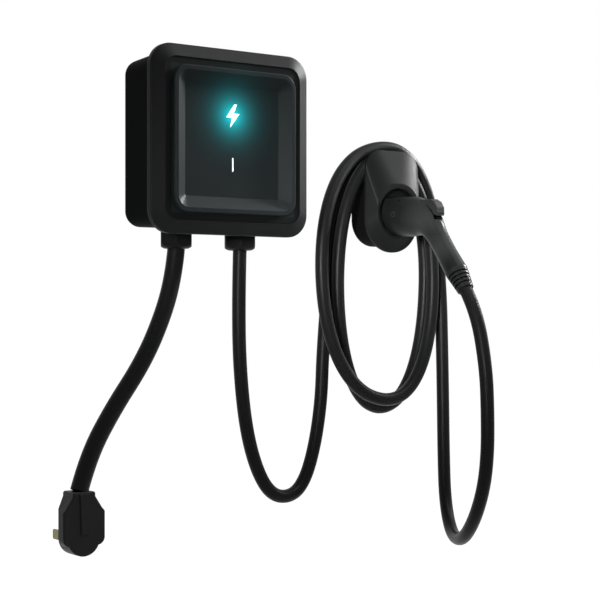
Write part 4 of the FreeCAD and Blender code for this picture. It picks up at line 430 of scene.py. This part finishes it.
# Cords: their diameters, and their routes' points as in the CAD source, but for the drop's lower part,
# which follows the photograph
POWER_DIAMETER = 0.023
CHARGE_DIAMETER = 0.0185
POWER_ROUTE = [(-0.0495, -0.040, -0.1365), (-0.053, -0.0405, -0.166), (-0.068, -0.043, -0.216),
               (-0.100, -0.046, -0.280), (-0.150, -0.049, -0.345), (-0.184, -0.052, -0.400),
               (-0.198, -0.055, -0.441)]
SUPPLY_ROUTE = [(0.0495, -0.040, -0.1365), (0.048, -0.039, -0.210), (0.052, -0.0365, -0.300),
                (0.066, -0.032, -0.385), (0.089, -0.0284, -0.444), (0.115, -0.026, -0.4725),
                (0.149, -0.023, -0.474), (0.173, -0.0205, -0.451), (0.1915, -0.018, -0.400),
                (0.203, -0.016, -0.338), (0.206, -0.0146, -0.280)]
DROP_ROUTE = [(0.415, -0.027, -0.190), (0.413, -0.032, -0.260), (0.408, -0.040, -0.340),
              (0.404, -0.046, -0.420), (0.399, -0.055, -0.496), (0.376, -0.096, -0.539),
              (0.344, -0.155, -0.5375), (0.323, -0.203, -0.503), (0.314, -0.232, -0.456),
              (0.311, -0.2428, -0.408), (0.311, -0.243, -0.355), (0.311, -0.240, -0.295)]

# Where the charging cable goes back in: the grip's end, how far in degrees its line dips, the boot's length
# beyond it, and how far the cable stays in line past the boot
GRIP_END = (0.3102, -0.1815, -0.1635)
GRIP_DIP = 53.6
BOOT_LONG = 0.031
LEAD_IN = 0.038

# The coil's turns, as the leftmost, top, rightmost and bottom points that they pass through. The drop
# begins just below the last one.
COIL_KEYS = [(0.2195, -0.0105, -0.165), (0.302, -0.014, 0.0063), (0.3965, -0.014, -0.160),
             (0.3065, -0.020, -0.360), (0.221, -0.0285, -0.175), (0.303, -0.0325, 0.0063),
             (0.3915, -0.038, -0.170), (0.296, -0.050, -0.347), (0.1765, -0.050, -0.155),
             (0.318, -0.0233, 0.0225), (0.416, -0.0233, -0.175)]

# Control points to a quarter turn, and its shape: 1 is an oval, and less is fuller
COIL_STEPS = 4
COIL_SHAPE = 0.95

# How finely a cord's line is divided between its points, and how finely its round is
LINE_STEPS = 10
ROUND_STEPS = 8


def coil_points():
    """Quarter ovals from each key point of the coil to the next, evenly stepped.

    They start upright from a side, and level from the top or the bottom.
    """
    points = []
    for number, (start, end) in enumerate(zip(COIL_KEYS, COIL_KEYS[1:])):
        for step in range(COIL_STEPS):
            angle = math.radians(90 * step / COIL_STEPS)
            early = math.sin(angle) ** COIL_SHAPE
            late = 1 - math.cos(angle) ** COIL_SHAPE
            outward = (1 - math.cos(2 * angle)) / 2
            shares = (early, outward, late) if number % 2 else (late, outward, early)
            points.append(tuple(a + (b - a) * share for a, b, share in zip(start, end, shares)))
    return points


def cord_curve(name, points, diameter, material):
    """A round cord along one smooth open spline."""
    curve = bpy.data.curves.new(name, "CURVE")
    curve.dimensions = "3D"
    curve.bevel_depth = diameter / 2
    curve.bevel_resolution = ROUND_STEPS
    curve.use_fill_caps = True
    spline = curve.splines.new("NURBS")
    spline.points.add(len(points) - 1)
    for point, place in zip(spline.points, points):
        point.co = (*place, 1)
    spline.order_u = 3
    spline.use_endpoint_u = True
    spline.resolution_u = LINE_STEPS
    curve.materials.append(material)
    piece = bpy.data.objects.new(name, curve)
    bpy.context.scene.collection.objects.link(piece)
    return piece


def add_power_lead(material):
    """The cord from the box down to the plug."""
    power = cord_curve("power_lead", POWER_ROUTE, POWER_DIAMETER, material)
    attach(power, CHARGER)
    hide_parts("power_cord")


def add_charging_cable(material):
    """The cable from the box, round the coil and down to the connector's boot."""
    dip = math.radians(GRIP_DIP)
    along = Vector((0, -math.cos(dip), -math.sin(dip)))
    end = Vector(GRIP_END) + along * BOOT_LONG
    route = SUPPLY_ROUTE + coil_points() + DROP_ROUTE + [tuple(end + along * LEAD_IN), tuple(end)]
    charge = cord_curve("charging_cable", route, CHARGE_DIAMETER, material)
    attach(charge, CHARGER)
    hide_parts("charge_cord_supply", "charge_cord_coil", "charge_cord_drop")


# Floor and surroundings: the floor's height, size and colour, how much it glows where it is seen, and the
# strength of the grey light from all round
FLOOR_HEIGHT = -0.95
FLOOR_SIZE = 30
FLOOR_COLOUR = (0.8, 0.8, 0.8, 1)
FLOOR_GLOW = 0.95
AMBIENT = 0.10
WHITE = (1, 1, 1, 1)


def seen_directly(tree):
    """1 for rays that show a surface, straight, mirrored or through glass, and 0 for the light it gives."""
    path = add(tree, "ShaderNodeLightPath").outputs
    either = math_node(tree, "MAXIMUM", path["Is Camera Ray"], path["Is Glossy Ray"])
    return math_node(tree, "MAXIMUM", either, path["Is Transmission Ray"])


def add_floor():
    """A plain pale floor that keeps the object's shadow and meets the white behind it without a line."""
    bpy.ops.mesh.primitive_plane_add(size=FLOOR_SIZE, location=(0, 0, FLOOR_HEIGHT))
    floor = bpy.context.object
    floor.name = "floor"
    material = bpy.data.materials.new("floor_white")
    material.use_nodes = True
    tree = material.node_tree
    tree.nodes.clear()
    output = add(tree, "ShaderNodeOutputMaterial")
    plain = add(tree, "ShaderNodeBsdfDiffuse", Color=FLOOR_COLOUR)
    glow = add(tree, "ShaderNodeEmission", Color=WHITE)
    share = math_node(tree, "MULTIPLY", seen_directly(tree), FLOOR_GLOW)
    tree.links.new(share, glow.inputs["Strength"])
    both = add(tree, "ShaderNodeAddShader")
    tree.links.new(plain.outputs[0], both.inputs[0])
    tree.links.new(glow.outputs[0], both.inputs[1])
    tree.links.new(both.outputs[0], output.inputs[0])
    floor.data.materials.append(material)


def add_world():
    """White where it is seen, and plain grey light from all round."""
    world = bpy.data.worlds.new("studio")
    bpy.context.scene.world = world
    world.use_nodes = True
    tree = world.node_tree
    tree.nodes.clear()
    output = add(tree, "ShaderNodeOutputWorld")
    seen = add(tree, "ShaderNodeBackground", Color=WHITE, Strength=1.0)
    ambient = add(tree, "ShaderNodeBackground", Color=WHITE, Strength=AMBIENT)
    mix = add(tree, "ShaderNodeMixShader")
    tree.links.new(seen_directly(tree), mix.inputs[0])
    tree.links.new(ambient.outputs[0], mix.inputs[1])
    tree.links.new(seen.outputs[0], mix.inputs[2])
    tree.links.new(mix.outputs[0], output.inputs[0])


# Each soft lamp: name, place, what it points at, size across and down, power in watts
LAMPS = [
    ("right_strip", (1.5, -0.30, 0.7), (0.1, 0, -0.05), (0.4, 1.4), 12),
    ("left_soft", (-1.9, -0.9, 0.3), (0.1, 0, -0.15), (0.5, 1.6), 1),
    ("top_soft", (0.5, -0.9, 1.5), (0.15, 0, 0.0), (1.2, 0.8), 18),
]

# Each spotlight: name, place, what it points at, angle across in degrees, power in watts and its own
# radius. The blend of 1 makes all of its pool of light a soft edge.
SPOTS = [
    ("coil_spot", (-1.24, -1.27, 0.02), (0.30, -0.06, -0.13), 12, 620, 0.20),
    ("edge_spot", (1.5, -0.30, 0.7), (0.10, -0.09, 0.06), 13, 1150, 0.30),
]
SPOT_BLEND = 1.0


def add_lamp(name, kind, place, target, watts):
    """Adds a lamp that points at its target, and gives back its data, where its size is still to be set."""
    data = bpy.data.lights.new(name, kind)
    data.energy = watts
    lamp = bpy.data.objects.new(name, data)
    bpy.context.scene.collection.objects.link(lamp)
    lamp.location = place
    facing = Vector(target) - Vector(place)
    lamp.rotation_euler = facing.to_track_quat("-Z", "Y").to_euler()
    return data


def add_lamps():
    """The soft lamps and the spotlights."""
    for name, place, target, (wide, tall), watts in LAMPS:
        data = add_lamp(name, "AREA", place, target, watts)
        data.shape = "RECTANGLE"
        data.size = wide
        data.size_y = tall
    for name, place, target, across, watts, radius in SPOTS:
        data = add_lamp(name, "SPOT", place, target, watts)
        data.spot_size = math.radians(across)
        data.spot_blend = SPOT_BLEND
        data.shadow_soft_size = radius


bpy.context.scene.view_settings.view_transform = "Standard"
materials = {**box_materials(), **inner_materials(), **cable_materials(), **connector_materials()}
add_camera()
dress_nodes(materials)
add_power_lead(materials["cord"])
add_charging_cable(materials["cord"])
add_floor()
add_world()
add_lamps()
